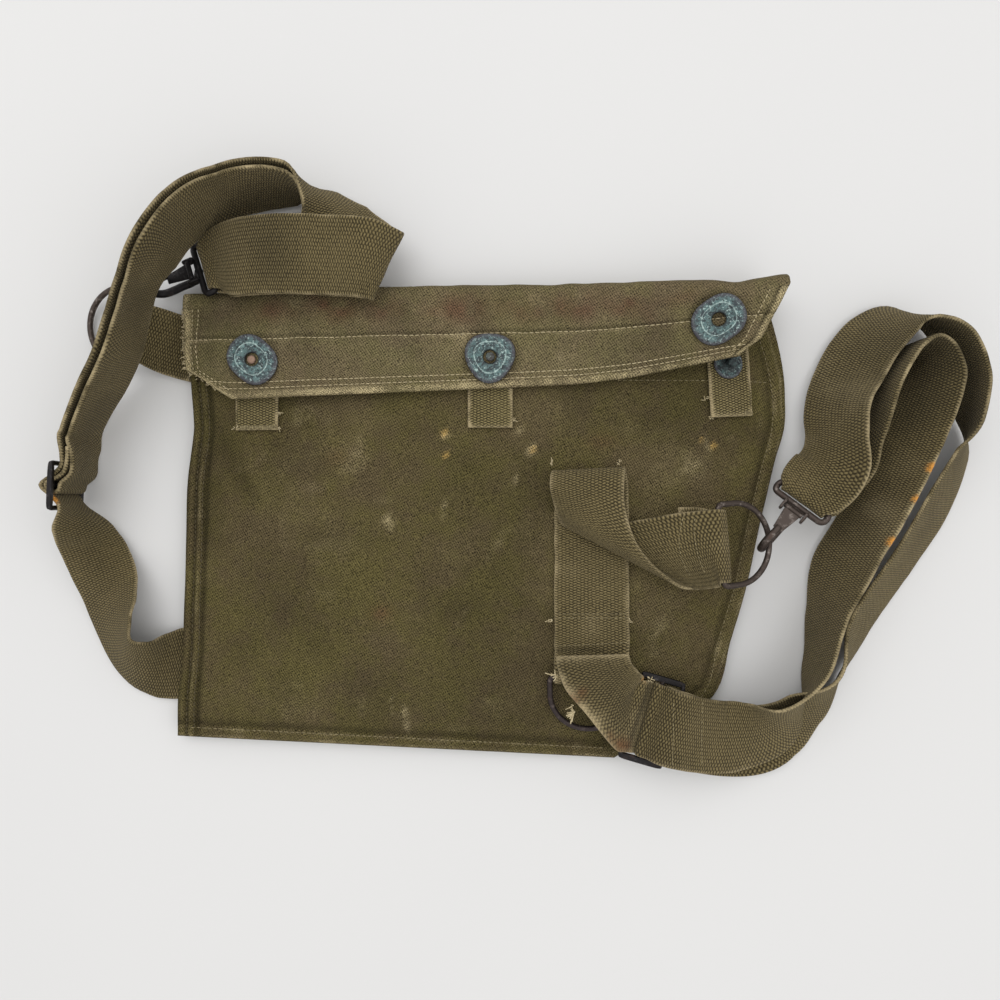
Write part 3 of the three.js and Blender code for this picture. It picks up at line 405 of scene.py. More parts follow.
canvas = canvasMaterial("canvas", canvasLook)
flapCanvas = canvasMaterial("flap canvas", flapLook)
webbing = webMaterial("webbing", webLook)
tabWebbing = webMaterial("tab webbing", {**webLook, "pale": srgb(138, 126, 86), "column": 1.7})
steel = steelMaterial("worn steel", steelLook, 0.05)
brownLook = {**steelLook, "dark": srgb(58, 50, 49), "worn": srgb(96, 86, 82)}
blackLook = {"dark": srgb(34, 32, 33), "worn": srgb(66, 63, 64), "rust": srgb(58, 42, 34)}
darkSteel = steelMaterial("brown steel", brownLook, 0.05)
blackSteel = steelMaterial("black steel", blackLook, 0.08)
patina = patinaMaterial("patina", patinaLook)
thread = threadMaterial("thread", threadLook["dark"], threadLook["pale"])
paleThread = threadMaterial("pale thread", srgb(158, 144, 110), srgb(196, 182, 148))
darkThread = threadMaterial("dark thread", srgb(66, 58, 40), srgb(98, 88, 62))
print("materials made")


# the pouch, mm on the table: edges of each section from the bottom seam to the mouth
pouch = {"wall": 1.4, "seam": 6.0, "seamMid": 6.0, "puff": 9.6, "puffReach": 24.0, "backReach": 22.0,
         "mouth": 90.0, "backBeyond": 12.5, "wide": 300.0, "rows": 150, "cols": 190, "backRows": 90,
         "backCols": 110}
# leftX, leftY, rightX, rightY
pouchSections = np.array([
    [-169.5, -124, 60, -135.5], [-169.2, -104, 112, -103], [-167, -80, 121, -74], [-166, -50, 130, -44],
    [-165, -20, 136.5, -13], [-164, 12, 143.5, 16], [-161, 38, 149.5, 40], [-163, 62, 148, 64],
    [-165, 90, 141, 90]])
# soft folds: from x, y to x, y, half width, height
pouchFolds = np.array([
    [2, 50, 8, -70, 5, 0.9], [14, 52, 20, -40, 6, -0.7], [-30, 40, -34, -100, 16, 0.6],
    [-110, 30, -90, -95, 22, 0.7],
    [-140, -40, -60, -110, 14, -0.6], [80, 30, 96, -70, 12, 0.8], [60, 48, 118, 20, 8, -0.6],
    [100, -40, 116, 20, 8, 0.8],
    [-150, -90, -120, -112, 9, 0.7], [20, -100, 84, -96, 9, 0.6], [-60, -118, 10, -122, 7, 0.5],
    [-140, 8, -118, 40, 9, 0.7],
    [-153, 46, -128, 2, 6, -1.6], [-128, 2, -120, -26, 8, -0.8]])
# pale rubbed places: x, y, half length, half width, turn in degrees, strength
scuffs = np.array([
    [-28, 33, 3, 2.4, 0, 1.0], [16, 26, 7, 2.0, 70, 0.8], [8, 13, 2, 6, 0, 0.6],
    [-29, -5, 6, 1.6, 80, 0.55], [-57, -12, 4, 7, 20, 0.55],
    [-49, -113, 1.8, 9, 5, 0.7], [-56, -105, 1.4, 6, -4, 0.5], [34, -2, 5, 3, 20, 0.5],
    [107, 28, 2, 5, 30, 0.6], [-2, -24, 10, 3, 60, 0.35],
    [-92, 6, 9, 4, 30, 0.3], [-120, -60, 10, 5, 10, 0.3], [84, -64, 9, 4, 50, 0.35],
    [-20, -60, 12, 4, 80, 0.3], [10, 36, 4, 3, 0, 0.5],
    [-125, 21, 10, 8, 0, 0.3], [-102, 43, 16, 5, 0, 0.32], [-73, 24, 13, 9, 0, 0.28],
    [98, 14, 14, 9, 20, 0.3],
    [72, 36, 18, 7, 0, 0.24], [-103, -51, 14, 9, 0, 0.18], [110, -20, 10, 14, 0, 0.2]])
pinkSpots = np.array([[-61, -58, 5, 4, 0, 0.5], [-84, 22, 6, 5, 0, 0.3], [52, 30, 7, 4, 0, 0.3]])
# x, y, radius
yellowSpots = np.array([[-28.4, 34, 2.6], [-28, 23, 2.2], [110, 28, 2.4], [104, 31, 1.6], [17, 26, 2.4]])


def pouchInset(x, y):
    left = x - np.interp(y, pouchSections[:, 1], pouchSections[:, 0])
    right = np.interp(y, pouchSections[:, 3], pouchSections[:, 2]) - x
    low, cornerAt = pouchSections[0], pouchSections[1]
    cut = np.array([cornerAt[2] - low[2], cornerAt[3] - low[3]])
    slant = ((y - low[3]) * cut[0] - (x - low[2]) * cut[1]) / np.hypot(*cut)
    right = np.where(y < cornerAt[3], slant, np.minimum(right, slant))
    bottom = y - mix(low[1], low[3], (x - low[0]) / (low[2] - low[0]))
    return left, right, bottom


def frontPlain(x, y):
    swell = lambda d: 1 - np.exp(-np.maximum(0, d - pouch["seam"]) / pouch["puffReach"])
    left, right, bottom = pouchInset(x, y)
    return pouch["seamMid"] + pouch["wall"] + pouch["puff"] * swell(left) * swell(right) * swell(bottom)


def fromLine(x, y, row):
    a, b = row[:2], row[2:4]
    run = b - a
    share = np.clip(((x - a[0]) * run[0] + (y - a[1]) * run[1]) / (run @ run), 0, 1)
    return np.hypot(x - a[0] - share * run[0], y - a[1] - share * run[1]), share


# front wall: plain swell, long soft folds, small slack, a double roll on the left,
# a flat hem with a groove elsewhere
def frontSkin(x, y):
    left, right, bottom = pouchInset(x, y)
    other = np.minimum(right, bottom)
    nearest = np.minimum(left, other)
    height = frontPlain(x, y)
    inside = smooth((nearest - 9) / 20)
    for row in pouchFolds:
        d, share = fromLine(x, y, row)
        ease = np.sin(np.pi * np.clip(share, 0.02, 0.98)) ** 0.5
        height = height + row[5] * bump(d, row[4]) * ease * inside
    height = height + inside * (0.6 * softNoise(x, y, 38, 3) + 0.3 * softNoise(x, y, 15, 4))
    roll = 0.9 * bump(left - 2.5, 1.8) - 0.7 * bump(left - 4.9, 0.9)
    roll = roll + bump(left - 7.2, 1.8) - 0.8 * bump(left - 10.4, 1.6)
    hem = 0.8 * bump(other - 3.2, 2.6) - 0.55 * bump(other - 6.6, 1.2)
    height = height + roll * smooth((other - 2) / 6) + hem * smooth((left - 2) / 6)
    pucker = 0.35 * softNoise(x, y, 6, 6) * bump(nearest - 8, 6)
    return height + pucker - 0.8 * np.exp(-np.maximum(nearest, 0) / 0.6)


def backUnder(x, y):
    nearest = np.minimum.reduce(pouchInset(x, y))
    lift = pouch["seamMid"] - pouch["wall"]
    return lift * (1 - smooth((nearest - pouch["seam"]) / (pouch["backReach"] - pouch["seam"])))


def pouchGrid(rows, cols, beyond):
    s = np.linspace(0, 1, cols)
    u = s - 0.8 * np.sin(2 * np.pi * s) / (2 * np.pi)  # closer together near both side seams
    r = np.linspace(0, 1, rows)
    v = r - 0.7 * np.sin(np.pi * r) / np.pi  # closer together near the bottom seam
    left = curveAt(pouchSections[:, :2], v)
    right = curveAt(pouchSections[:, 2:], v)
    spot = left[:, None] + (right - left)[:, None] * u[None, :, None]
    spot[..., 1] += (beyond * smooth((v - 0.6) / 0.4))[:, None]
    side = np.minimum(u, 1 - u)[None, :] * pouch["wide"]
    sway = softNoise(spot[..., 1], spot[..., 1] * 0 + u[None, :] * 9, 21, 8)
    spot[..., 0] += 0.7 * sway * np.exp(-side / 10)
    return spot[..., 0], spot[..., 1]


def spots(x, y, table):
    value = np.zeros_like(x)
    for row in table:
        turn = math.radians(row[4])
        a = (x - row[0]) * math.cos(turn) + (y - row[1]) * math.sin(turn)
        b = (y - row[1]) * math.cos(turn) - (x - row[0]) * math.sin(turn)
        value = np.maximum(value, row[5] * np.exp(-((a / row[2]) ** 2 + (b / row[3]) ** 2)))
    return value


def canvasMarks(x, y):
    left, right, bottom = pouchInset(x, y)
    other = np.minimum(right, bottom)
    patchy = 0.7 + 0.35 * softNoise(x, y, 7, 11)
    wear = (0.42 * bump(other - 1.0, 1.4) + 0.3 * bump(other - 5.0, 1.4)) * patchy
    wear = wear + 0.3 * bump(left - 7.2, 1.2) * patchy
    wear = wear + 0.9 * spots(x, y, scuffs) * (0.7 + 0.5 * softNoise(x, y, 3, 15))
    wear = wear + 0.14 * np.maximum(0, softNoise(x, y, 26, 12))
    wear = wear + 0.2 * np.maximum(0, softNoise(x, y, 8, 13)) ** 2
    yellow = np.zeros_like(x)
    for row in yellowSpots:
        yellow = np.maximum(yellow, bump(np.hypot(x - row[0], y - row[1]), row[2]))
    # darker: broad noise patches of dirt, plus painted shade in the left seam's groove and fold valley,
    # along the very left edge, in a band inside the hem of the right side and bottom, and along the
    # diagonal crease at the upper left
    dirt = 0.5 * bump(other - 8.2, 2.2) + 0.8 * bump(left - 4.9, 0.9)
    dirt = dirt + 0.8 * bump(left - 10.6, 1.8) + 0.5 * bump(left, 1.4)
    dirt = dirt + 0.35 * np.maximum(0, softNoise(x, y, 55, 14))
    dirt = dirt + 0.3 * np.maximum(0, softNoise(x, y, 19, 16))
    crease = fromLine(x, y, np.array([-153.0, 46.0, -128.0, 2.0]))[0]
    dirt = dirt + 0.45 * bump(crease, 5.0) * (0.8 + 0.4 * softNoise(x, y, 6, 17))
    return {"wear": wear, "yellow": yellow, "dirt": np.minimum(dirt, 1), "red": spots(x, y, pinkSpots)}


def clothPiece(name, top, under, marks, uv, material, replaced):
    points, faces = wall(top, under)
    double = lambda a: np.concatenate([a.reshape(-1), a.reshape(-1)])
    uvs = np.concatenate([uv.reshape(-1, 2), uv.reshape(-1, 2)])
    return makePiece(name, points, faces, "bag", material, uvs,
                     {k: double(v) for k, v in marks.items()}, (), replaced)


x, y = pouchGrid(pouch["rows"], pouch["cols"], 0)
top = np.stack([x, y, frontSkin(x, y)], -1)
under = np.stack([x, y, np.minimum(frontSkin(x, y) - 0.9, frontPlain(x, y) - pouch["wall"] - 0.06)], -1)
front = clothPiece("pouch_front", top, under, canvasMarks(x, y), np.stack([x, y], -1), canvas, ["pouch"])

x, y = pouchGrid(pouch["backRows"], pouch["backCols"], pouch["backBeyond"])
ySafe = np.minimum(y, pouch["mouth"])
low = backUnder(x, ySafe)
nearest = np.minimum.reduce(pouchInset(x, ySafe))
under = np.stack([x, y, low + 0.5 * np.exp(-np.maximum(nearest, 0) / 0.6)], -1)
top = np.stack([x, y, low + pouch["wall"] + 0.06], -1)
back = clothPiece("pouch_back", top, under, canvasMarks(x, ySafe), np.stack([x, y], -1), canvas, ["pouch"])
print("pouch made")


# the flap: x, foldY, top, hemY, hemZ of each section from its left end
flap = {"thick": 2.0, "root": 1.3, "clipStart": 0.73, "leanLeft": 5.0, "clipLeft": 25.0, "clipRight": 23.0,
        "foldShare": 0.34, "seamRun": 0.41, "wide": 300.0, "drop": 50.0, "rows": 130, "cols": 210}
flapSections = np.array([
    [-166, 108, 8, 55, 11.5], [-150, 108.5, 9.5, 53, 17], [-134, 109, 13, 51, 20.8],
    [-100, 109, 17, 52.5, 22],
    [-50, 109.5, 18.2, 54.5, 22.2], [0, 110, 19.6, 56.5, 22.2], [40, 110.5, 20, 58.5, 22.2],
    [65, 111, 22, 61.5, 22.8],
    [90, 111, 26.5, 66, 26], [112, 110.5, 33, 70, 31], [141, 110, 37, 74, 34]])
# over the fold: how far back from its crest, share of the rise
foldCourse = np.array([[5.6, 0], [2.2, 0.08], [0.4, 0.28], [0, 0.5], [0.6, 0.76], [2.6, 0.93], [6.5, 1]])


def flapColumn(x, column):
    fine = np.linspace(flapSections[0, 0], flapSections[-1, 0], 400)
    value = np.interp(fine, flapSections[:, 0], flapSections[:, column])
    kernel = bump(np.arange(-12, 13), 7.0)
    eased = np.convolve(np.pad(value, 12, mode="reflect", reflect_type="odd"), kernel / kernel.sum(),
                        mode="valid")
    return np.interp(x, fine, eased)


# flap middle surface: u from left end to right end, t from root over the fold to the hem
def flapPoint(u, t):
    run = np.maximum(0, (t - flap["foldShare"]) / (1 - flap["foldShare"]))
    past = np.clip((run - flap["clipStart"]) / (1 - flap["clipStart"]), 0, 1)
    first = flapSections[0, 0] + flap["leanLeft"] * run + flap["clipLeft"] * past
    last = flapSections[-1, 0] - flap["clipRight"] * mix(run, smooth(past), 0.3)
    x = mix(first, last, u)
    course = np.clip(t / flap["foldShare"], 0, 1)
    fine = np.linspace(0, 1, 120)
    curve = curveAt(foldCourse, fine)
    back = np.interp(course, fine, curve[:, 0])
    rise = np.interp(course, fine, curve[:, 1])
    foldY, high, hemY, hemZ = (flapColumn(x, k) for k in (1, 2, 3, 4))
    y = np.where(run > 0, mix(foldY - foldCourse[-1, 0], hemY, run), foldY - back)
    z = np.where(run > 0, mix(high, hemZ, smooth(run / 0.55)), mix(flap["root"], high, rise))
    return np.stack([x, y, z], -1), run


def flapNormal(u, t, e=0.004):
    du = flapPoint(np.minimum(1, u + e), t)[0] - flapPoint(np.maximum(0, u - e), t)[0]
    dt = flapPoint(u, np.minimum(1, t + e))[0] - flapPoint(u, np.maximum(0, t - e))[0]
    return unit(np.cross(dt, du))


# outer face: hem roll, rolled ends, seam groove with puckers on both sides, soft slack,
# a notch in the fold by the right end
def flapSkin(u, t):
    middle, run = flapPoint(u, t)
    normal = flapNormal(u, t)
    x = middle[..., 0]
    drop = flap["drop"]
    fromHem = (1 - run) * drop
    fromLeft, fromRight = u * flap["wide"], (1 - u) * flap["wide"]
    nearest = np.minimum(fromHem, np.where(run > 0.05, np.minimum(fromLeft, fromRight), 99))
    onTop = smooth(run / 0.08)
    lift = 0.5 * bump(fromHem - 2.2, 2.2) - 0.45 * bump(fromHem - 5.0, 0.9) - 0.3 * bump(fromHem - 8.0, 1.0)
    leftEnd = 0.6 * bump(fromLeft - 2.4, 1.9) - 0.5 * bump(fromLeft - 5.0, 0.9)
    leftEnd = leftEnd - 0.4 * bump(fromLeft - 8.0, 1.0)
    rightEnd = 1.1 * bump(fromRight - 1.9, 1.5) - 0.9 * bump(fromRight - 4.0, 0.8)
    rightEnd = rightEnd + 0.9 * bump(fromRight - 6.2, 1.6)
    lift = lift + onTop * leftEnd
    lift = lift + onTop * rightEnd
    fromSeam = (run - flap["seamRun"]) * drop
    lift = lift - 0.7 * bump(fromSeam, 1.1) + 0.4 * bump(fromSeam - 3.5, 2.4)
    ripple = softNoise(x, x * 0, 13, 21) + 0.6 * softNoise(x, x * 0, 6, 22)
    pucker = bump(fromSeam - 6, 8) + 0.5 * bump(fromSeam + 6, 5)
    lift = lift + 0.8 * ripple * pucker * onTop * smooth(fromHem / 8)
    slack = 0.6 * softNoise(x, run * drop, 24, 23) + 0.3 * softNoise(x, run * drop, 9, 24)
    lift = lift + slack * smooth(nearest / 12)
    lift = lift - 0.75 * np.exp(-np.maximum(nearest, 0) / 0.5)
    ragged = 0.5 * softNoise(run * drop, run * 0, 5, 25) + 0.4 * softNoise(run * drop, run * 0, 2, 26)
    ragged = ragged * np.exp(-fromLeft / 3)
    middle = middle + (onTop * ragged)[..., None] * np.array([1.0, 0, 0])
    notch = (1.8 * bump(x - 141, 9) - 1.5 * bump(x - 117, 8)) * (1 - smooth(run / 0.4))
    middle = middle + notch[..., None] * np.array([0, 1.0, 0])
    return middle + normal * (flap["thick"] / 2 + lift)[..., None], middle, normal, nearest, fromSeam, run


# x, y, turn, seat, corners, how far they stand out, bare metal showing in the hole
snaps = {"left": (-125.0, 71.0, -42.0, 0.3, 2, 0.09, 1.0), "middle": (-5.0, 72.0, 28.0, 0.3, 3, 0.06, 0.1),
         "right": (108.0, 89.0, 34.0, 0.9, 2, 0.09, 0.0)}
# soft brown stains along the top band: x, y, half length, half width, turn, strength
flapStains = np.array([
    [-116, 97, 16, 6, 4, 0.7], [-86, 98, 15, 7, -5, 0.8], [-60, 96, 12, 6, 10, 0.5],
    [-20, 97, 19, 7, 0, 0.7],
    [12, 96, 12, 6, 0, 0.5], [40, 98, 17, 7, 6, 0.7], [66, 97, 13, 7, -8, 0.7], [90, 101, 9, 4, 20, 0.4]])
u, t = np.meshgrid(np.linspace(0, 1, flap["cols"]), 1 - np.linspace(0, 1, flap["rows"]) ** 1.1,
                   indexing="xy")
top, middle, normal, nearest, fromSeam, run = flapSkin(u, t)
under = middle - normal * (flap["thick"] / 2 - 0.5 * np.exp(-np.maximum(nearest, 0) / 0.5))[..., None]
x, y = top[..., 0], top[..., 1]
patchy = 0.75 + 0.3 * softNoise(x, y, 6, 35)
wear = 0.62 * bump(nearest - 1.2, 1.8) + 0.35 * bump(nearest - 3.2, 1.2)
wear = (wear + 0.25 * bump(fromSeam - 1, 1.0)) * patchy
wear = wear + 0.25 * np.maximum(0, softNoise(x, y, 17, 31))
wear = wear + 0.2 * np.maximum(0, softNoise(x, y, 6, 32)) ** 2
wear = wear + 0.7 * bump(u * flap["wide"] - 1.2, 2.4) * patchy
wear = wear + 0.25 * bump(run - 0.02, 0.05) * np.maximum(0, softNoise(x, y, 12, 33))
fromRight = (1 - u) * flap["wide"]
# darker: noise patches of dirt, plus painted shade in the seam groove, in the groove by the right end and
# in the ripple valleys beside the seam
dirt = 0.4 * np.maximum(0, softNoise(x, y, 34, 34)) + 0.5 * bump(fromSeam + 1.2, 1.0)
dirt = dirt + 0.9 * bump(fromRight - 4.0, 0.8) * (run > 0.03)
creased = bump(fromSeam - 6, 8) + 0.9 * bump(fromSeam + 10, 8)  # both sides of the seam
crest = softNoise(x + 0.25 * y, x * 0, 13, 21)
dirt = dirt + 0.42 * np.maximum(0, -crest) * creased
wear = wear + 0.24 * np.maximum(0, crest) * creased
# painted shadow: a dark ring on the cloth round the edge of each socket
for sx, sy, *_ in snaps.values():
    dirt = np.maximum(dirt, 0.75 * bump(np.hypot(x - sx, y - sy) - 12.2, 2.2))
red = spots(x, y, flapStains) * (0.7 + 0.6 * softNoise(x, y, 5, 36)) * (run < flap["seamRun"])
lengths = np.cumsum(np.linalg.norm(np.diff(middle, axis=0, prepend=middle[:1]), axis=-1), 0)
marks = {"wear": wear, "dirt": np.minimum(dirt, 1), "yellow": 0 * x, "red": np.maximum(red, 0)}
flapCloth = clothPiece("flap_cloth", top, under, marks, np.stack([x, lengths], -1), flapCanvas, ["flap"])
print("flap made")


# webbing, mm on the table; rows are x, y, z of the middle, then heading and tilt of the way across
web = {"width": 38.0, "thick": 1.8, "pace": 2.4, "gap": 0.3, "doubleGap": 2.2}
hardware = {  # middle, along the bar, the way it points
    "ring_left": ((-188.6, 89.5, 8.8), (0.17, 0.979, 0.11), (-0.985, 0.17, -0.2)),
    "ring_right": ((108.5, -22.5, 33), (-0.08, 0.997, 0), (0.92, 0.07, -0.38)),
    "ring_lower": ((45.5, -89, 20.4), (1, 0.03, 0), (0.03, -1, -0.24)),
    "hook_left": ((-156.2, 119, 11.8), (-0.335, 0.92, -0.22), (-0.935, -0.353, -0.1)),
    "hook_right": ((150.6, -3.3, 21.9), (0.7, -0.616, 0.36), (-0.66, -0.75, 0)),
    "slide_left": ((-218, 7, 24), (0.205, 0, 0.979), (0.04, 1, 0)),
    "slide_right": ((77.3, -112, 19.3), (0.28, 0.96, 0), (0.96, -0.28, 0))}
# both edges of the left strap's lower end: inner x, y, z, outer x, y, z
leftLower = np.array([
    [-157, -68, 1.9, -159, -106, 1.7], [-168, -67.8, 2.2, -171.5, -106, 1.6],
    [-176, -70.4, 7, -181.5, -105.5, 1.4],
    [-179, -72.2, 20, -192, -101.3, 1.3], [-184.6, -70, 26, -202.7, -91.7, 1.4],
    [-185.2, -59.2, 25, -212.4, -74.5, 2],
    [-185.5, -48.5, 18.5, -218.7, -56, 5], [-189.5, -37, 10, -222.6, -39.4, 12],
    [-196.3, -25, 5, -222.4, -25.6, 23],
    [-204.8, -13.4, 4.6, -217, -14.8, 38]])
# the last column is 1 on the slanted fold
leftDouble = np.array([
    [-212.5, 33, 21, 0, 79, 0], [-198.5, 57, 26, 0, 86, 0], [-186, 75, 34, 0, 86, 0],
    [-181, 90, 35.5, 0, 85, 0],
    [-176, 105, 37, 0, 83, 0], [-166.5, 122, 38, 135, 88, 0], [-156.5, 140.5, 31, 130, 86, 0],
    [-141, 154.8, 21.5, 120, 83, 0],
    [-122, 160, 20.5, 95, 80, 0], [-105, 160, 20.6, 80, 86, 0], [-92.5, 154, 19.2, -120, 62, 0],
    [-83.5, 142, 17.4, -121, 28, 0],
    [-68, 125, 21.8, -119, 14, 0], [-58.2, 117.6, 28, -113, 4, 1], [-66, 118.6, 33, -104, -6, 0],
    [-88, 120.6, 31.4, -95, -10, 0],
    [-112, 122, 28.6, -90, -8, 0], [-130, 122.2, 24, -85, -2, 0]])
# both edges of the right strap's sewn start
rightStart = np.array([
    [27.9, -77.8, 27.3, 64.3, -76.8, 27.3], [28.4, -83.3, 27.2, 65.3, -80.3, 27.2],
    [32.9, -94.8, 27, 68.3, -84.8, 27],
    [45, -109.5, 26, 72, -88.5, 26]])
rightOuter = np.array([
    [108, -124, 11, 76, 2], [132, -127.5, 4.5, 84, 4], [145, -121, 7.5, 103, 18],
    [157, -109.5, 11.5, 118, 36],
    [173, -91, 18, 142, 64], [184, -65.5, 16, 153, 49], [207.5, -30.5, 16, 160, 47],
    [225, -3, 15.5, 168, 44],
    [236.5, 23, 17, 172, 52], [238.5, 43, 20.3, 178, 78], [237.5, 62, 20.5, 190, 88],
    [230, 82, 20.5, -100, 86],
    [218, 92, 20, -80, 76], [206, 94, 19, -55, 62], [195, 88, 18, -35, 54], [186, 78, 17.5, -26, 52],
    [178, 64, 18, -18, 52],
    [170, 48, 23, -20, 62], [167.5, 32, 27, -30, 64], [165.5, 17.5, 27, -36, 43]])
rightInner = np.array([
    [176, 21, 18.5, -48, 56], [184.5, 34, 19.8, -20, 82], [195, 60, 20, 0, 88], [206, 76, 20, 0, 90],
    [213.5, 80, 20, 0, 90],
    [219.5, 75, 20, 0, 86], [219.5, 62, 19.6, -24, 66], [213, 44, 18.8, -16, 58], [201, 17, 18, -6, 54],
    [188.5, -9, 19, -4, 62],
    [175, -32, 19, 0, 62], [165.5, -60, 20, 0, 84], [161, -84, 20.3, 150, 86], [150, -107.5, 21.5, 118, 52],
    [134.5, -119, 17.5, 97, 22], [114, -121, 18.8, 80, 3]])
# both edges where the front webbing turns over and folds under on a slant: left x, y, z, right x, y, z
frontTurn = np.array([
    [27.4, 7, 18.9, 65.4, 8.4, 18.9], [25.9, 14, 22.6, 63.4, 16, 22.6], [25, 9, 26.2, 62, 11, 27],
    [25.4, 3, 26.2, 61.6, 2, 29],
    [26.8, -2, 25.8, 63.3, -10, 31], [27.9, -5.5, 25.3, 67.6, -21.5, 32],
    [28.7, -7.5, 24.9, 75.5, -32, 31.6],
    [29.3, -9, 24.4, 85.6, -40.4, 30.4], [31.5, -12, 22.8, 91.6, -43.9, 27.8],
    [35.4, -12.3, 21.2, 96.4, -44.8, 25.2],
    [46, -12.6, 21.2, 99.4, -45, 25.7], [58, -11.8, 22, 101.4, -44.8, 27], [72, -9.6, 25, 104.4, -44, 29.4],
    [88, -6.5, 30.5, 107.6, -42.8, 32.8]])
# through a slide: along the strap, up from the slide's plane
slideRunning = np.array([[-14, 3.4], [-10, 3.1], [-5.5, 0], [0, -5.5], [5.5, 0], [10, 3.1], [14, 3.2]])
slideSewn = np.array([[14, 7.9], [6, 7.5], [1.2, 3.4], [-2.2, 2.4], [-3.2, 0], [0, -3.2], [2.4, -2.2],
                      [3.3, 0], [6.3, 3.9],
                      [11.5, 5.5], [19, 5.5]])


# a station is its middle, its way across in half widths, and 1 where that way is kept on a slant
def stations(rows):
    head, tilt = np.radians(rows[:, 3]), np.radians(rows[:, 4])
    across = np.stack([np.cos(tilt) * np.cos(head), np.cos(tilt) * np.sin(head), np.sin(tilt)], 1)
    slant = rows[:, 5:6] if rows.shape[1] > 5 else np.zeros((len(rows), 1))
    return np.hstack([rows[:, :3], across, slant])


def edgeStations(rows):
    left, right = rows[:, :3], rows[:, 3:]
    return np.hstack([(left + right) / 2, (right - left) / web["width"], np.ones((len(rows), 1))])


def poseOf(name):
    at, bar, out = (np.array(v, float) for v in hardware[name])
    bar = unit(bar)
    out = unit(out - bar * (out @ bar))
    return {"at": at, "bar": bar, "out": out, "up": np.cross(bar, out)}


def inPose(pose, points):
    points = np.asarray(points, float)
    moves = [points[..., k:k + 1] * pose[key] for k, key in enumerate(("bar", "out", "up"))]
    return pose["at"] + moves[0] + moves[1] + moves[2]


# round a bar; flare is how much wider the webbing is again just beside it
def roundBar(centre, across, front, side, radius, lead=1.2, flare=1.0):
    turns = np.array([[-lead, 1], [0, 1], [0.71, 0.71], [1, 0], [0.71, -0.71], [0, -1], [-lead, -1]])
    wide = np.array([flare, (1 + flare) / 2, 1, 1, 1, (1 + flare) / 2, flare])
    points = centre + radius * (turns[:, :1] * front + turns[:, 1:] * side)
    return np.hstack([points, wide[:, None] * across, np.ones((len(turns), 1))])


def throughSlide(name, course, flip):
    pose = poseOf(name)
    points = inPose(pose, np.stack([0 * course[:, 0], course[:, 0], flip * course[:, 1]], 1))
    return np.hstack([points, np.tile(pose["bar"], (len(course), 1)), np.ones((len(course), 1))])


# direction along a spline, from two places just before and after
def wayAlong(points, span, local, e=1e-3):
    ahead = splineAt(points, span, np.minimum(1, local + e))
    behind = splineAt(points, span, np.maximum(0, local - e))
    return unit(ahead - behind)


def beside(rows, offset):
    made = stations(rows)
    span = np.minimum(np.arange(len(rows)), len(rows) - 2)
    local = np.where(np.arange(len(rows)) > span, 1.0, 0.0)
    way = wayAlong(made[:, :3], span, local)
    square = unit(made[:, 3:6] - way * np.sum(made[:, 3:6] * way, 1, keepdims=True))
    across = mix(square, made[:, 3:6], made[:, 6:])
    return np.hstack([made[:, :3] + np.cross(way, square) * offset, across, made[:, 6:]])


# course of a ribbon: cubic through the stations, the way across kept square to it or on its slant
def ribbonCourse(made, pace):
    points, ways, slant = made[:, :3], made[:, 3:6], made[:, 6]
    reach = np.linalg.norm(np.diff(points, axis=0), axis=1)
    steps = np.maximum(4, np.round(reach / pace)).astype(int)
    span = np.append(np.repeat(np.arange(len(steps)), steps), len(steps) - 1)
    local = np.append(np.concatenate([np.arange(n) / n for n in steps]), 1.0)
    centre = splineAt(points, span, local)
    way = wayAlong(points, span, local)
    tip = splineAt(ways, span, local, 0.3)
    square = unit(tip - way * np.sum(tip * way, 1, keepdims=True))
    keep = mix(slant[span], slant[span + 1], local)[:, None]
    across = mix(square, tip, keep)
    face = unit(np.cross(way, across))
    run = np.append(0, np.cumsum(np.linalg.norm(np.diff(centre, axis=0), axis=1)))
    return {"centre": centre, "across": across, "face": face, "run": run}


# marks on the webbing: x, y, z, radius, strength
rustPlaces = np.array([
    [36, -100, 27, 4.4, 1.0], [41, -96, 27, 3.4, 0.8], [61, -124, 22, 5.6, 1.0], [55, -119, 23, 4.4, 0.7],
    [-213, 1, 42, 3.0, 0.7]])
orangePlaces = np.array([
    [74, -90, 26, 3.0, 1.0], [-214, 0, 42, 3.0, 0.8], [212, 15.8, 33.4, 3.0, 0.85],
    [203.6, 0.5, 34.5, 2.6, 0.75],
    [190.9, -20.3, 35.8, 2.8, 0.85], [64, -130, 20, 3.0, 0.9]])
# painted shadow on the inside face of the right strap's outer run, where the gap between the plies lies in
# deep shade: x, y, z, radius, strength
deepShadePlaces = np.array([[236, 62, 27, 15, 0.55], [237, 42, 28, 14, 0.75], [232, 20, 26, 10, 0.5]])
frayPlaces = np.array([[30, -90, 27, 4.0, 0.8], [34, -97, 27, 4.5, 0.9], [40, -105, 26, 4.5, 1.0],
                       [46, -111, 25, 4.0, 0.7]])
# painted shade along creases and fold edges on the raised webbing: from x, y to x, y, half width, strength
creaseShades = np.array([[28, -57.0, 66, -57.8, 1.0, 0.8], [77, -90.5, 64, -126, 1.4, 0.9],
                       [94, -7, 99, -40, 0.8, 0.3],
                       [28, -76.5, 66, -75.5, 0.8, 0.6]])


def near(points, table):
    value = np.zeros(len(points))
    for row in table:
        value = np.maximum(value, row[4] * bump(np.linalg.norm(points - row[:3], axis=1), row[3]))
    return value


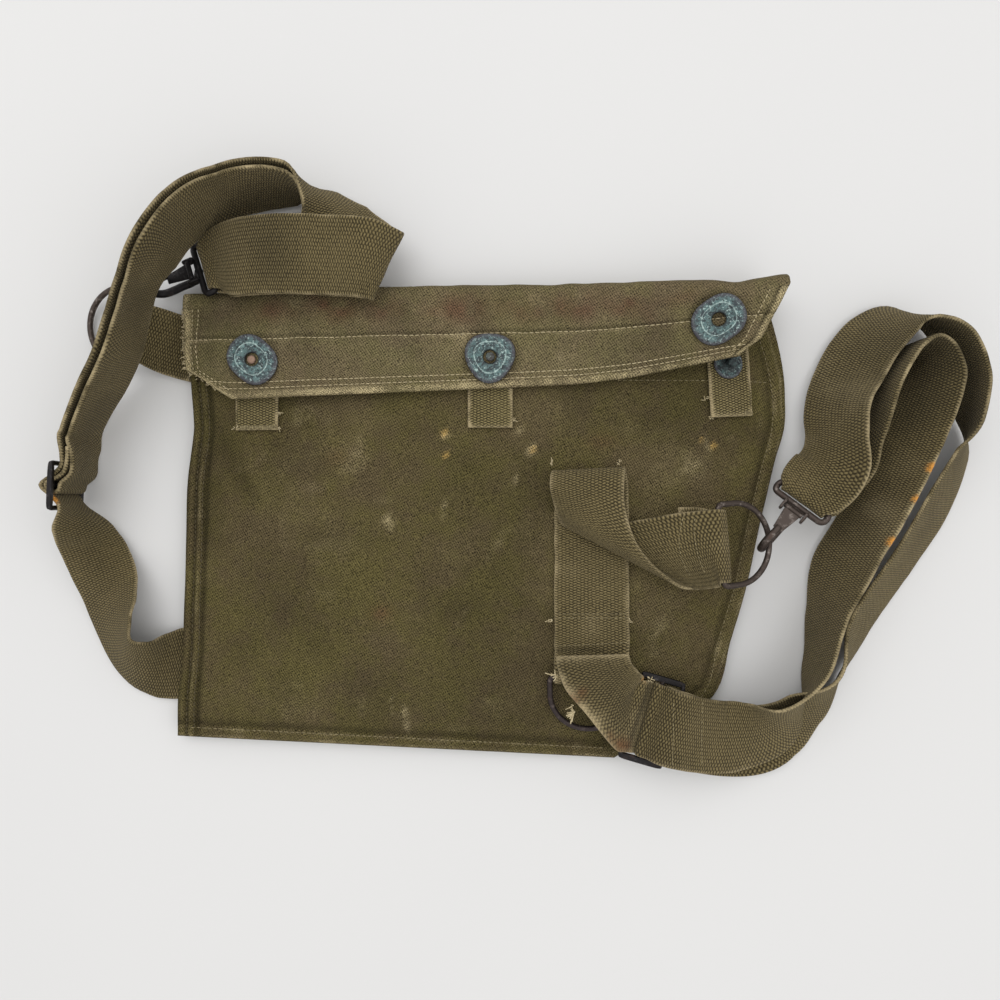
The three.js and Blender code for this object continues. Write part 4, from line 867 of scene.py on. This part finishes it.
# webbing: a flat profile with rounded selvedges carried along its course
def webPiece(name, course, width, replaced, seed, material=webbing):
    thick = web["thick"]
    half = width / 2
    flat = np.linspace(-1, 1, 15) * (half - 0.8)
    ends = np.array([[half - 0.25, 0.62], [half, 0.0], [half - 0.25, -0.62]])
    profile = np.vstack([np.stack([flat[::-1], 0 * flat + 1], 1), -ends * [1, -1],
                         np.stack([flat, 0 * flat - 1], 1), ends[::-1]])
    a, level = profile[:, 0], profile[:, 1]
    n, m = len(course["run"]), len(profile)
    run = course["run"][:, None] + 0 * a
    side = a[None] + 0 * run
    ridge = 0.12 * softNoise(run, side, 4, seed) + 0.1 * bump(np.abs(side) - (half - 1.4), 0.9)
    ridge = ridge + 0.25 * softNoise(run, side, 26, seed + 1) * (1 - (side / half) ** 2)
    spread = 1 + 0.012 * softNoise(run, side * 0 + seed, 7, seed + 2)
    points = course["centre"][:, None] + course["across"][:, None] * (side * spread)[..., None]
    points = points + course["face"][:, None] * (level * (thick / 2) + np.abs(level) * ridge)[..., None]
    faces = gridFaces(n, m, False, True)
    caps = [list(range(m))[::-1], [(n - 1) * m + k for k in range(m)]]
    flatPoints = points.reshape(-1, 3)
    strong, wide = (1.0, 1.6) if half < 12 else (0.75, 0.9)  # narrow tabs have thick pale edges
    selvedge = strong * bump(np.abs(side) - half, wide) * (0.8 + 0.5 * softNoise(run, side, 5, seed + 3))
    tips = np.exp(-run / 1.5) + np.exp(-(course["run"][-1] - run) / 1.5)
    wear = selvedge + 0.7 * tips + 0.25 * np.maximum(0, softNoise(run, side, 14, seed + 4))
    wear = wear + 0.25 * np.maximum(0, softNoise(run, side, 40, seed + 5))
    wear = wear + near(flatPoints, frayPlaces).reshape(n, m)
    # darker: broad noise patches of dirt, plus painted shade at the deep shade places and along the creases
    dirt = 0.5 * np.maximum(0, softNoise(run, side, 30, seed + 6))
    dirt = np.maximum(dirt, near(flatPoints, deepShadePlaces).reshape(n, m))
    for row in creaseShades:
        away = fromLine(points[..., 0], points[..., 1], row)[0]
        dirt = np.maximum(dirt, row[5] * bump(away, row[4]) * (points[..., 2] > 20))
    marks = {"wear": wear.ravel(), "dirt": dirt.ravel(), "rust": near(flatPoints, rustPlaces),
             "orange": near(flatPoints, orangePlaces)}
    uv = np.stack([side, run], -1).reshape(-1, 2)
    piece = makePiece(name, flatPoints, faces, "bag", material, uv, marks, caps, replaced)
    return piece


barRound = lambda wireRadius: wireRadius + 1.5 * web["gap"] + web["thick"] / 2
ringWire, hookWire, hookLoop, hookFlare = 1.45, 1.6, 6.1, 1.36
ringGather, hookGather = 0.94, 0.66  # share of its width that webbing keeps on a ring, on a hook's bar
hookL, hookR = poseOf("hook_left"), poseOf("hook_right")
upL = hookL["up"] * np.sign(hookL["up"][2])
upR = hookR["up"] * np.sign(hookR["up"][2])
leftCourse = ribbonCourse(np.vstack([
    edgeStations(leftLower), throughSlide("slide_left", slideRunning[1:], -1),
    beside(leftDouble, -web["doubleGap"]),
    roundBar(inPose(hookL, [0, -hookLoop, 0]), -hookGather * hookL["bar"], hookL["out"], -upL,
             barRound(hookWire), 1.3, hookFlare),
    beside(leftDouble, web["doubleGap"])[::-1], throughSlide("slide_left", slideSewn, -1)]), web["pace"])
webPiece("left_strap", leftCourse, web["width"], ["strap_left"], 100)
rightCourse = ribbonCourse(np.vstack([
    edgeStations(rightStart), throughSlide("slide_right", slideRunning, -1), stations(rightOuter),
    roundBar(inPose(hookR, [0, -hookLoop, 0]), hookGather * hookR["bar"], hookR["out"], upR,
             barRound(hookWire), 1.3, hookFlare),
    stations(rightInner), throughSlide("slide_right", slideSewn, -1)]), web["pace"])
webPiece("right_strap", rightCourse, web["width"], ["strap_right"], 200)

ringLow, ringRight, ringLeft = poseOf("ring_lower"), poseOf("ring_right"), poseOf("ring_left")


def layRow(y, plies):
    bed = max(float(frontPlain(np.array(v), np.array(y))) for v in (30.0, 47.0, 64.0))
    return [46.8, y, bed + plies * (web["gap"] + web["thick"]) - web["thick"] / 2, 2, 0]


frontCourse = ribbonCourse(np.vstack([
    stations(np.array([layRow(-68.0, 1), layRow(-79.0, 1.3)])),
    roundBar(ringLow["at"], np.array([ringGather, 0.03, 0]), np.array([0, -1.0, 0]), np.array([0, 0, -1.0]),
             barRound(ringWire)),
    stations(np.array([layRow(-78.0, 2.6), layRow(-62.0, 2), layRow(-48.0, 1.4), layRow(-30.0, 1.1),
                       layRow(-8.0, 1.1)])),
    edgeStations(frontTurn),
    roundBar(ringRight["at"], -ringGather * ringRight["bar"], unit(np.array([0.95, 0, -0.3])),
             unit(np.array([0.3, 0, 0.95])), barRound(ringWire)),
    stations(np.array([[97, -22.5, 27, -82, 0], [89, -22.3, 25, -76, 0]]))]), 2.0)
webPiece("front_web", frontCourse, web["width"], ["front_webbing"], 300)

chapeWay = np.array([0.93, -0.25, -0.27])
chapeWay = unit(chapeWay - ringLeft["bar"] * (chapeWay @ ringLeft["bar"]))
chapeUp = np.cross(chapeWay, ringLeft["bar"])
chapeCourse = ribbonCourse(np.vstack([
    stations(np.array([[-161, 79, 1.25, 79, 0], [-171, 81.5, 1.3, 79, 1]])),
    roundBar(inPose(ringLeft, [-2.2, 0, 0]), ringGather * ringLeft["bar"], -chapeWay, -chapeUp,
             barRound(ringWire), 0.6),
    stations(np.array([[-171, 81.5, 3.6, 79, 1], [-161, 79, 3.35, 79, 0]]))]), 1.5)
webPiece("left_chape", chapeCourse, 33.0, ["chape_left"], 400)

# x, y of the stud, lower end, skew
tabs = {"left": (-125.0, 71.0, 35.0, 0.0), "middle": (-5.0, 72.0, 36.0, 0.0),
        "right": (117.0, 70.0, 42.0, 0.06)}
tabCourses = {}
studPoses = {}
for side, (tx, ty, tabEnd, skew) in tabs.items():
    rows = []
    for ry in (83.0, 77.0, 70.0, 60.0, 50.0, tabEnd + 1):
        rx = tx + (83 - ry) * skew
        low, mid, high = (float(frontPlain(np.array(rx + k), np.array(ry))) for k in (-11.5, 0, 11.5))
        bed = max((low + high) / 2, mid)
        rows.append([rx, ry, bed + web["gap"] + web["thick"] / 2, 0,
                     math.degrees(math.atan2(high - low, 23.0))])
    rows = np.array(rows)
    tabCourses[side] = ribbonCourse(stations(rows), 1.5)
    webPiece("tab_" + side, tabCourses[side], 23.0, ["stud_tab_" + side], 500 + len(side),
             material=tabWebbing)
    column = lambda k, at: np.interp(at, rows[::-1, 1], rows[::-1, k])
    lean = math.radians(column(4, ty))
    studBar = np.array([math.cos(lean), 0, math.sin(lean)])
    studOut = unit(np.array([0, 15.6, column(2, ty + 7.8) - column(2, ty - 7.8)]))
    studUp = np.cross(studBar, studOut)
    at = np.array([tx, ty, column(2, ty)]) + studUp * (web["thick"] / 2 + web["gap"])
    studPoses[side] = {"at": at, "bar": studBar, "out": np.cross(studUp, studBar), "up": studUp}
print("webbing made")


# snaps: turned profiles, each socket's rim pulled into its own soft corners
socketProfile = np.array([  # radius, height, raised, painted shade in hollows, rim
    [3.3, 0.0, 0, 1, 0], [3.3, 0.7, 0, 1, 0], [3.5, 1.2, 0, 0.9, 0], [4.0, 1.5, 0.2, 0.3, 0],
    [4.8, 1.35, 0, 0.2, 0], [6.2, 1.3, 0, 0, 0],
    [7.3, 1.6, 0.3, 0, 0], [7.9, 2.0, 1, 0, 0], [8.5, 1.65, 0.5, 0, 0], [9.3, 1.35, 0.3, 0, 0],
    [10.6, 1.35, 0.2, 0, 0.3],
    [11.8, 1.15, 0, 0, 1], [12.4, 0.75, 0, 0.1, 1], [12.6, 0.35, 0, 0.5, 1], [12.4, 0.0, 0, 0.8, 0],
    [3.3, 0.0, 0, 1, 0]])
studProfile = np.array([
    [0.0, 0.0, 0, 0.4, 0], [7.6, 0.0, 0, 0.4, 0], [7.8, 0.45, 0, 0, 1], [7.5, 0.95, 0.2, 0, 1],
    [6.6, 1.1, 0.2, 0, 0.6], [5.9, 0.75, 0, 0.3, 0],
    [3.4, 0.75, 0, 0.7, 0], [2.4, 1.2, 0, 0.7, 0], [1.9, 2.6, 0, 0.7, 0], [1.95, 4.4, 0, 0.7, 0],
    [2.3, 5.1, 0, 0.6, 0],
    [2.0, 5.75, 0, 0.6, 0], [1.1, 6.0, 0, 0.6, 0], [0.0, 6.0, 0, 0.6, 0]])


def turned(profile, pose, sides, corners=0, stand=0.0, bare=0.0):
    rows = np.linspace(0, len(profile) - 1, (len(profile) - 1) * 3 + 1)
    column = lambda k: np.interp(rows, np.arange(len(profile)), profile[:, k])
    radius, height, raised, hollowShade, rim = map(column, range(5))
    a = np.linspace(0, 2 * np.pi, sides, endpoint=False)
    wave = stand * np.cos(corners * a) - (0.022 if corners == 2 else 0) * np.cos(4 * a)
    r = radius[:, None] * (1 + np.clip((radius - 3.3) / 4, 0, 1)[:, None] * wave)
    points = np.stack([r * np.cos(a), r * np.sin(a), height[:, None] + 0 * r], -1)
    marks = {"raised": raised, "hollowShade": hollowShade, "rim": rim, "bare": bare * smooth((height - 4.6) / 0.6)}
    marks = {k: np.repeat(v, sides) for k, v in marks.items()}
    return inPose(pose, points).reshape(-1, 3), gridFaces(len(rows), sides, False, True)[:, ::-1], marks


def snapPose(x, y, turn, seat):
    us, ts = np.meshgrid(np.linspace(0, 1, 700), np.linspace(0.35, 1, 300))
    where = flapPoint(us, ts)[0]
    best = np.argmin(np.hypot(where[..., 0] - x, where[..., 1] - y))
    u, t = us.ravel()[best:best + 1], ts.ravel()[best:best + 1]
    up = flapNormal(u, t)[0]
    bar = np.array([math.cos(math.radians(turn)), math.sin(math.radians(turn)), 0])
    bar = unit(bar - up * (bar @ up))
    return {"at": flapPoint(u, t)[0][0] + up * (flap["thick"] / 2 + seat), "bar": bar,
            "out": np.cross(up, bar), "up": up}


for side, (sx, sy, turn, seat, corners, stand, bare) in snaps.items():
    points, faces, marks = turned(socketProfile, snapPose(sx, sy, turn, seat), 96, corners, stand)
    makePiece("socket_" + side, points, faces, "bag", patina, None, marks, (),
              ["snap_socket_" + side])
    points, faces, marks = turned(studProfile, studPoses[side], 64, bare=bare)
    makePiece("stud_" + side, points, faces, "bag", patina, None, marks, (), ["snap_stud_" + side])
print("snaps made")


# rings, hooks, tongues and slides
ring = {"bar": 40.5, "depth": 30.0, "corner": 3.0}
hook = {"bar": 29.0, "reach": 21.5, "bend": 6.4, "corner": 3.0, "stem": 2.1, "tongueWidth": 10.0,
        "narrow": 5.0,
        "root": 3.7, "tip": 16.1}
slide = {"long": 46.0, "short": 24.0, "thick": 2.4}


def line(a, b, count):
    a, b = np.array(a, float), np.array(b, float)
    return a + (b - a) * np.linspace(0, 1, count, endpoint=False)[:, None]


def bezier(points, count):
    t = np.linspace(0, 1, count, endpoint=False)[:, None]
    p = np.array(points, float)
    while len(p) > 1:
        p = [a + (b - a) * t for a, b in zip(p[:-1], p[1:])]
    return p[0]


def ringPath():
    half, low, corner = ring["bar"] / 2, ring["depth"] - ring["bar"] / 2, ring["corner"]
    k = 0.5523 * half
    deep = ring["depth"]
    return np.vstack([
        line([-half + corner, 0, 0], [half - corner, 0, 0], 24),
        bezier([[half - corner, 0, 0], [half, 0, 0], [half, corner, 0]], 8),
        line([half, corner, 0], [half, low, 0], 6),
        bezier([[half, low, 0], [half, low + k, 0], [k, deep, 0], [0, deep, 0]], 24),
        bezier([[0, deep, 0], [-k, deep, 0], [-half, low + k, 0], [-half, low, 0]], 24),
        line([-half, low, 0], [-half, corner, 0], 6),
        bezier([[-half, corner, 0], [-half, 0, 0], [-half + corner, 0, 0]], 8)])


def roundedLoop(half, near, far, corner):
    return np.vstack([
        line([-half + corner, near, 0], [half - corner, near, 0], 24),
        bezier([[half - corner, near, 0], [half, near, 0], [half, near - corner, 0]], 8),
        line([half, near - corner, 0], [half, far + corner, 0], 6),
        bezier([[half, far + corner, 0], [half, far, 0], [half - corner, far, 0]], 8),
        line([half - corner, far, 0], [-half + corner, far, 0], 24),
        bezier([[-half + corner, far, 0], [-half, far, 0], [-half, far + corner, 0]], 8),
        line([-half, far + corner, 0], [-half, near - corner, 0], 6),
        bezier([[-half, near - corner, 0], [-half, near, 0], [-half + corner, near, 0]], 8)])


def metalPiece(name, parts, pose, body, material, replaced):
    points, faces, caps = joined(parts)
    return makePiece(name, inPose(pose, points), faces, body, material, None, None, caps, replaced)


upright = np.array([0, 0, 1.0])
for name in ("ring_left", "ring_right", "ring_lower"):
    path = ringPath()
    uneven = ringWire * (1 + 0.03 * softNoise(path[:, 0], path[:, 1], 5, 71))
    finish = darkSteel if name == "ring_lower" else steel
    metalPiece(name + "_wire", [wire(path, upright, uneven, 18)], poseOf(name), "bag", finish, [name])

for side in ("left", "right"):
    pose = poseOf("hook_" + side)
    lift = np.sign(pose["up"][2])
    finish = blackSteel if side == "left" else steel
    bend = np.radians(np.linspace(0, 180, 7))
    stem = np.vstack([
        [[0, 0, 0], [0, 4, -hook["bend"] * 0.7 * lift], [0, 8, -hook["bend"] * lift],
         [0, 14, -hook["bend"] * lift]],
        np.stack([0 * bend, hook["reach"] + hook["bend"] * np.sin(bend),
                  -hook["bend"] * np.cos(bend) * lift], 1),
        [[0, hook["reach"] - 6.5, hook["bend"] * lift]]])
    stemPath = curveAt(stem, np.linspace(0, 1, 90))
    taper = hook["stem"] * (1 - 0.25 * smooth((np.linspace(0, 1, 90) - 0.85) / 0.15))
    lugX = hook["tongueWidth"] / 2 + 1.1
    lugs = [softBlock((1.6, 6.4, 4.6), (k * lugX, 3.4, 1.6 * lift), 5) for k in (-1, 1)]
    bridge = softBlock((hook["tongueWidth"] + 3.8, 2.6, 2.6), (0, 0.6, -0.4 * lift), 5)
    loop = wire(roundedLoop(hook["bar"] / 2, 0, -hookLoop, hook["corner"]), upright, hookWire, 16)
    metalPiece("snap_hook_" + side, [loop, wire(stemPath, np.array([1.0, 0, 0]), taper, 16, False),
                                     bridge] + lugs, pose, "bag", finish, ["hook_" + side])
    rootZ, tipZ = 3 * lift, (hook["bend"] - hook["stem"] - 1.0) * lift
    share = np.linspace(0, 1, 24)
    plateMid = np.stack([0 * share, mix(hook["root"], hook["tip"], share), mix(rootZ, tipZ, share)], 1)
    halfWide = mix(hook["tongueWidth"] / 2 - 0.4, hook["narrow"] / 2, share)
    rim = np.linspace(0, 2 * np.pi, 20, endpoint=False)
    shape = np.stack([np.sign(np.cos(rim)) * np.abs(np.cos(rim)) ** 0.3,
                      0.5 * np.sign(np.sin(rim)) * np.abs(np.sin(rim)) ** 0.6], 1)
    plate = plateMid[:, None] + np.stack([shape[None, :, 0] * halfWide[:, None],
                                          0 * halfWide[:, None] + 0 * shape[None, :, 0],
                                          shape[None, :, 1] + 0 * halfWide[:, None]], -1)
    plateFaces = gridFaces(24, 20, False, True)[:, ::-1]
    caps = [list(range(20)), [23 * 20 + k for k in range(20)][::-1]]
    barrelPath = np.stack([np.linspace(-0.5, 0.5, 10) * hook["tongueWidth"], np.full(10, hook["root"]),
                           np.full(10, rootZ)], 1)
    metalPiece("spring_tongue_" + side, [(plate.reshape(-1, 3), plateFaces, caps),
                                         wire(barrelPath, np.array([0, 1.0, 0]), 1.3, 16, False)],
               pose, "tongue_" + side, finish, ["tongue_" + side])

for side in ("left", "right"):
    t = slide["thick"]
    long, short = slide["long"] / 2, slide["short"] / 2
    outer = roundedLoop(long - t / 2, short - t / 2, -short + t / 2, 3.0)
    middleBar = np.stack([np.linspace(-1, 1, 30) * (long - t), np.zeros(30), np.zeros(30)], 1)
    ends = [softBlock((3.2, slide["short"] - 1, t), (k * (long - 1.65), 0, 0), 5) for k in (-1, 1)]
    bars = [wire(outer, upright, t / 2, 16), wire(middleBar, upright, t / 2, 16, False)]
    metalPiece("slide_frame_" + side, bars + ends, poseOf("slide_" + side), "bag", blackSteel,
               ["slide_" + side])
print("metal made")


# stitches: short beads of thread along a line on a surface, sunk a little at both ends
def stitchRow(line, normals, pitch, length, radius):
    run = np.append(0, np.cumsum(np.linalg.norm(np.diff(line, axis=0), axis=1)))
    starts = np.arange(0, run[-1] - length, pitch)
    along = np.linspace(0, 1, 5)
    at = starts[:, None] + along * length
    pick = lambda table: np.stack([np.interp(at, run, table[:, k]) for k in range(3)], -1)
    middle, up = pick(line), unit(pick(normals))
    way = unit(np.gradient(middle, axis=1))
    side = unit(np.cross(up, way))
    turn = np.linspace(0, 2 * np.pi, 6, endpoint=False)
    thick = radius * np.array([0.35, 0.9, 1.0, 0.9, 0.35])
    sink = radius * np.array([-0.7, 0.1, 0.35, 0.1, -0.7])
    centre = middle + up * sink[None, :, None]
    ringPoints = side[:, :, None] * np.cos(turn)[:, None] + up[:, :, None] * np.sin(turn)[:, None]
    points = centre[:, :, None] + ringPoints * thick[None, :, None, None]
    one = gridFaces(5, 6, False, True)
    faces = (one[None] + np.arange(len(starts))[:, None, None] * 30).reshape(-1, 4)
    return points.reshape(-1, 3), faces, []


def onFront(x, y, lift=0.15):
    z = frontSkin(x, y) + lift
    e = 0.6
    slope = np.stack([-(frontSkin(x + e, y) - frontSkin(x - e, y)) / (2 * e),
                      -(frontSkin(x, y + e) - frontSkin(x, y - e)) / (2 * e), 1 + 0 * x], -1)
    return np.stack([x, y, z], -1), unit(slope)


def onFlap(u, t, lift=0.1):
    top, _, normal, *_ = flapSkin(u, t)
    return top + normal * lift, normal


v = np.linspace(0.012, 0.985, 500)
sideLeft = curveAt(pouchSections[:, :2], v)
sideRight = curveAt(pouchSections[:, 2:], v)
seams, leftSeams = [], []
for inset in (4.9, 9.0):
    leftSeams.append((sideLeft[:, 0] + inset, sideLeft[:, 1]))
seams.append((sideRight[:, 0] - 6.4, sideRight[:, 1]))
bx = np.linspace(-162, 56, 300)
seams.append((bx, mix(pouchSections[0, 1], pouchSections[0, 3], (bx + 169.5) / 229.5) + 5.2))
mouthX = np.linspace(60, 141, 120)
seams.append((mouthX, 61.5 + 0 * mouthX))
for name, rows, material in (("pouch_stitches", seams, thread), ("side_stitches", leftSeams, darkThread)):
    parts = [stitchRow(*onFront(sx, sy), 2.9, 2.1, 0.24) for sx, sy in rows]
    points, faces, caps = joined(parts)
    makePiece(name, points, faces, "bag", material)

parts = []
us = np.linspace(0.012, 0.988, 600)
for back in (5.0, 8.0):
    hemT = 1 - back / flap["drop"] * (1 - flap["foldShare"])
    parts.append(stitchRow(*onFlap(us, 0 * us + hemT), 2.7, 2.3, 0.24))
seamT = flap["foldShare"] + flap["seamRun"] * (1 - flap["foldShare"])
parts.append(stitchRow(*onFlap(us, 0 * us + seamT), 2.9, 2.5, 0.24))
ts = np.linspace(0.37, 0.95, 200)
for inset in (5.0, 8.0, flap["wide"] - 8.6):
    parts.append(stitchRow(*onFlap(0 * ts + inset / flap["wide"], ts), 2.7, 2.0, 0.25))
points, faces, caps = joined(parts)
makePiece("flap_stitches", points, faces, "bag", paleThread)


# place on a webbing's upper ply that lies nearest to x, y: how far along, how far across
def webSpot(course, x, y):
    side = np.linspace(-18.5, 18.5, 75)
    points = course["centre"][:, None] + course["across"][:, None] * side[:, None]
    away = np.hypot(points[..., 0] - x, points[..., 1] - y)
    miss = np.where(away < 1.6, -points[..., 2], 100 + away)
    along, over = np.unravel_index(np.argmin(miss), miss.shape)
    return course["run"][along], side[over]


def onWeb(course, run, side):
    pick = lambda key: np.stack([np.interp(run, course["run"], course[key][:, k]) for k in range(3)], -1)
    face = pick("face")
    face = face * np.sign(face[:, 2:])
    return pick("centre") + pick("across") * side[:, None] + face * (web["thick"] / 2 + 0.12), face


# rows of stitches between two places on the table: x, y, x, y
webRows = [(frontCourse, (28.5, -57, 65, -57.8)), (frontCourse, (28.5, -59, 65, -59.8)),
           (frontCourse, (28.5, -73, 65.5, -73)),
           (frontCourse, (90, -6, 95, -40)), (frontCourse, (96.4, -7, 101, -37)),
           (rightCourse, (86, -100, 86, -134)), (rightCourse, (100.6, -102, 101.5, -136))]
parts = []
share = np.linspace(0, 1, 60)
for course, (x0, y0, x1, y1) in webRows:
    (run0, side0), (run1, side1) = webSpot(course, x0, y0), webSpot(course, x1, y1)
    along, over = mix(run0, run1, share), mix(side0, side1, share)
    parts.append(stitchRow(*onWeb(course, along, over), 2.4, 1.9, 0.26))
for course in tabCourses.values():
    end = course["run"][-1]
    for side in np.arange(-10.8, 10.9, 0.9):
        parts.append(stitchRow(*onWeb(course, end - 2.6 + 2.7 * share, side + 0 * share), 9.0, 2.6, 0.42))
points, faces, caps = joined(parts)
makePiece("web_stitches", points, faces, "bag", thread)


# loose thread ends: x, y, z, strands, length, heading in degrees, how far they spread, seed
tufts = [(37, -106, 25.5, 7, 5.0, 235, 0.5, 1), (36, -103, 26.5, 4, 2.4, 200, 0.6, 14),
         (28.5, -88, 25, 8, 3.6, 190, 0.6, 2),
         (75, -90, 26, 6, 2.2, 20, 0.8, 3), (27, -61, 20, 4, 2.0, 180, 0.7, 4),
         (66, -61, 20, 4, 2.0, 0, 0.7, 5),
         (25.6, 17.8, 22, 4, 2.2, 120, 0.7, 6), (61, 18.6, 22, 4, 2.0, 60, 0.7, 7),
         (-112.8, 44, 17.6, 5, 1.6, 0, 0.9, 8),
         (-136.5, 37, 15.5, 4, 1.6, 180, 0.9, 9), (-113.5, 37, 17.4, 4, 1.5, -30, 0.9, 10),
         (7, 41, 19, 5, 1.8, 0, 0.9, 11),
         (105.5, 52, 17, 5, 1.6, 180, 0.9, 12), (108, 42, 17, 4, 1.5, 200, 0.9, 13)]
for k, share in enumerate(np.linspace(0.04, 0.9, 26)):
    spot = flapPoint(np.array([0.0]), np.array([flap["foldShare"] + share * (1 - flap["foldShare"])]))[0][0]
    tufts.append((spot[0] + 0.2, spot[1], spot[2] + 0.5, 4, 1.5, 180, 0.5, 40 + k))


def strands(at, count, length, heading, spread, seed):
    draw = np.random.default_rng(seed)
    parts = []
    aim = np.array([math.cos(math.radians(heading)), math.sin(math.radians(heading)), 0])
    for _ in range(count):
        way = unit(aim + spread * draw.normal(0, 1, 3) * [1, 1, 0.3])
        bow = draw.normal(0, 0.45, 3) * [1, 1, 0.3]
        s = np.linspace(0, 1, 9)[:, None]
        root = np.array(at) + draw.normal(0, 0.5, 3) * [1, 1, 0.3]
        path = root + (way * s + bow * s ** 2) * length * draw.uniform(0.5, 1.0)
        path[:, 2] = np.maximum(path[:, 2], frontPlain(path[:, 0], path[:, 1]) + 0.6)
        parts.append(wire(path, unit(np.cross(way, draw.normal(0, 1, 3))), 0.08 + 0.06 * length, 5, False))
    return parts


parts = []
for tx, ty, tz, count, length, heading, spread, seed in tufts:
    parts += strands((tx, ty, tz), count, length, heading, spread, seed)
points, faces, caps = joined(parts)
makePiece("loose_threads", points, faces, "bag", paleThread, None, None, caps)
print("stitches made")


# pale floor and soft studio light
floorPaint = Paint("floor", Roughness=0.85, Specular_IOR_Level=0.2)
floorTone = floorPaint.noise(3, 2.0)
floorMaterial = floorPaint.finish(floorPaint.blend(floorTone, (0.66, 0.66, 0.665), (0.69, 0.69, 0.69)))
floorMesh = bpy.data.meshes.new("floor")
floorMesh.from_pydata([(-4, -4, -0.0004), (4, -4, -0.0004), (4, 4, -0.0004), (-4, 4, -0.0004)], [],
                      [(0, 1, 2, 3)])
floorMesh.materials.append(floorMaterial)
floor = bpy.data.objects.new("floor", floorMesh)
bpy.context.scene.collection.objects.link(floor)

# place, size, watts
lights = {"key": ((-0.4, 0.6, 1.4), 1.2, 7.0), "fill": ((0.9, -0.4, 1.3), 1.6, 5.0)}
for name, (place, size, watts) in lights.items():
    lamp = bpy.data.lights.new(name, "AREA")
    lamp.size = size
    lamp.energy = watts
    lampObject = bpy.data.objects.new(name, lamp)
    lampObject.location = place
    aim = -np.array(place)
    lampObject.rotation_euler = (math.atan2(math.hypot(aim[0], aim[1]), -aim[2]), 0,
                                 math.atan2(aim[0], -aim[1]) + math.pi)
    bpy.context.scene.collection.objects.link(lampObject)
world = bpy.data.worlds.new("studio")
world.use_nodes = True
world.node_tree.nodes["Background"].inputs[0].default_value = (1.0, 0.99, 0.97, 1.0)
world.node_tree.nodes["Background"].inputs[1].default_value = 0.9
bpy.context.scene.world = world
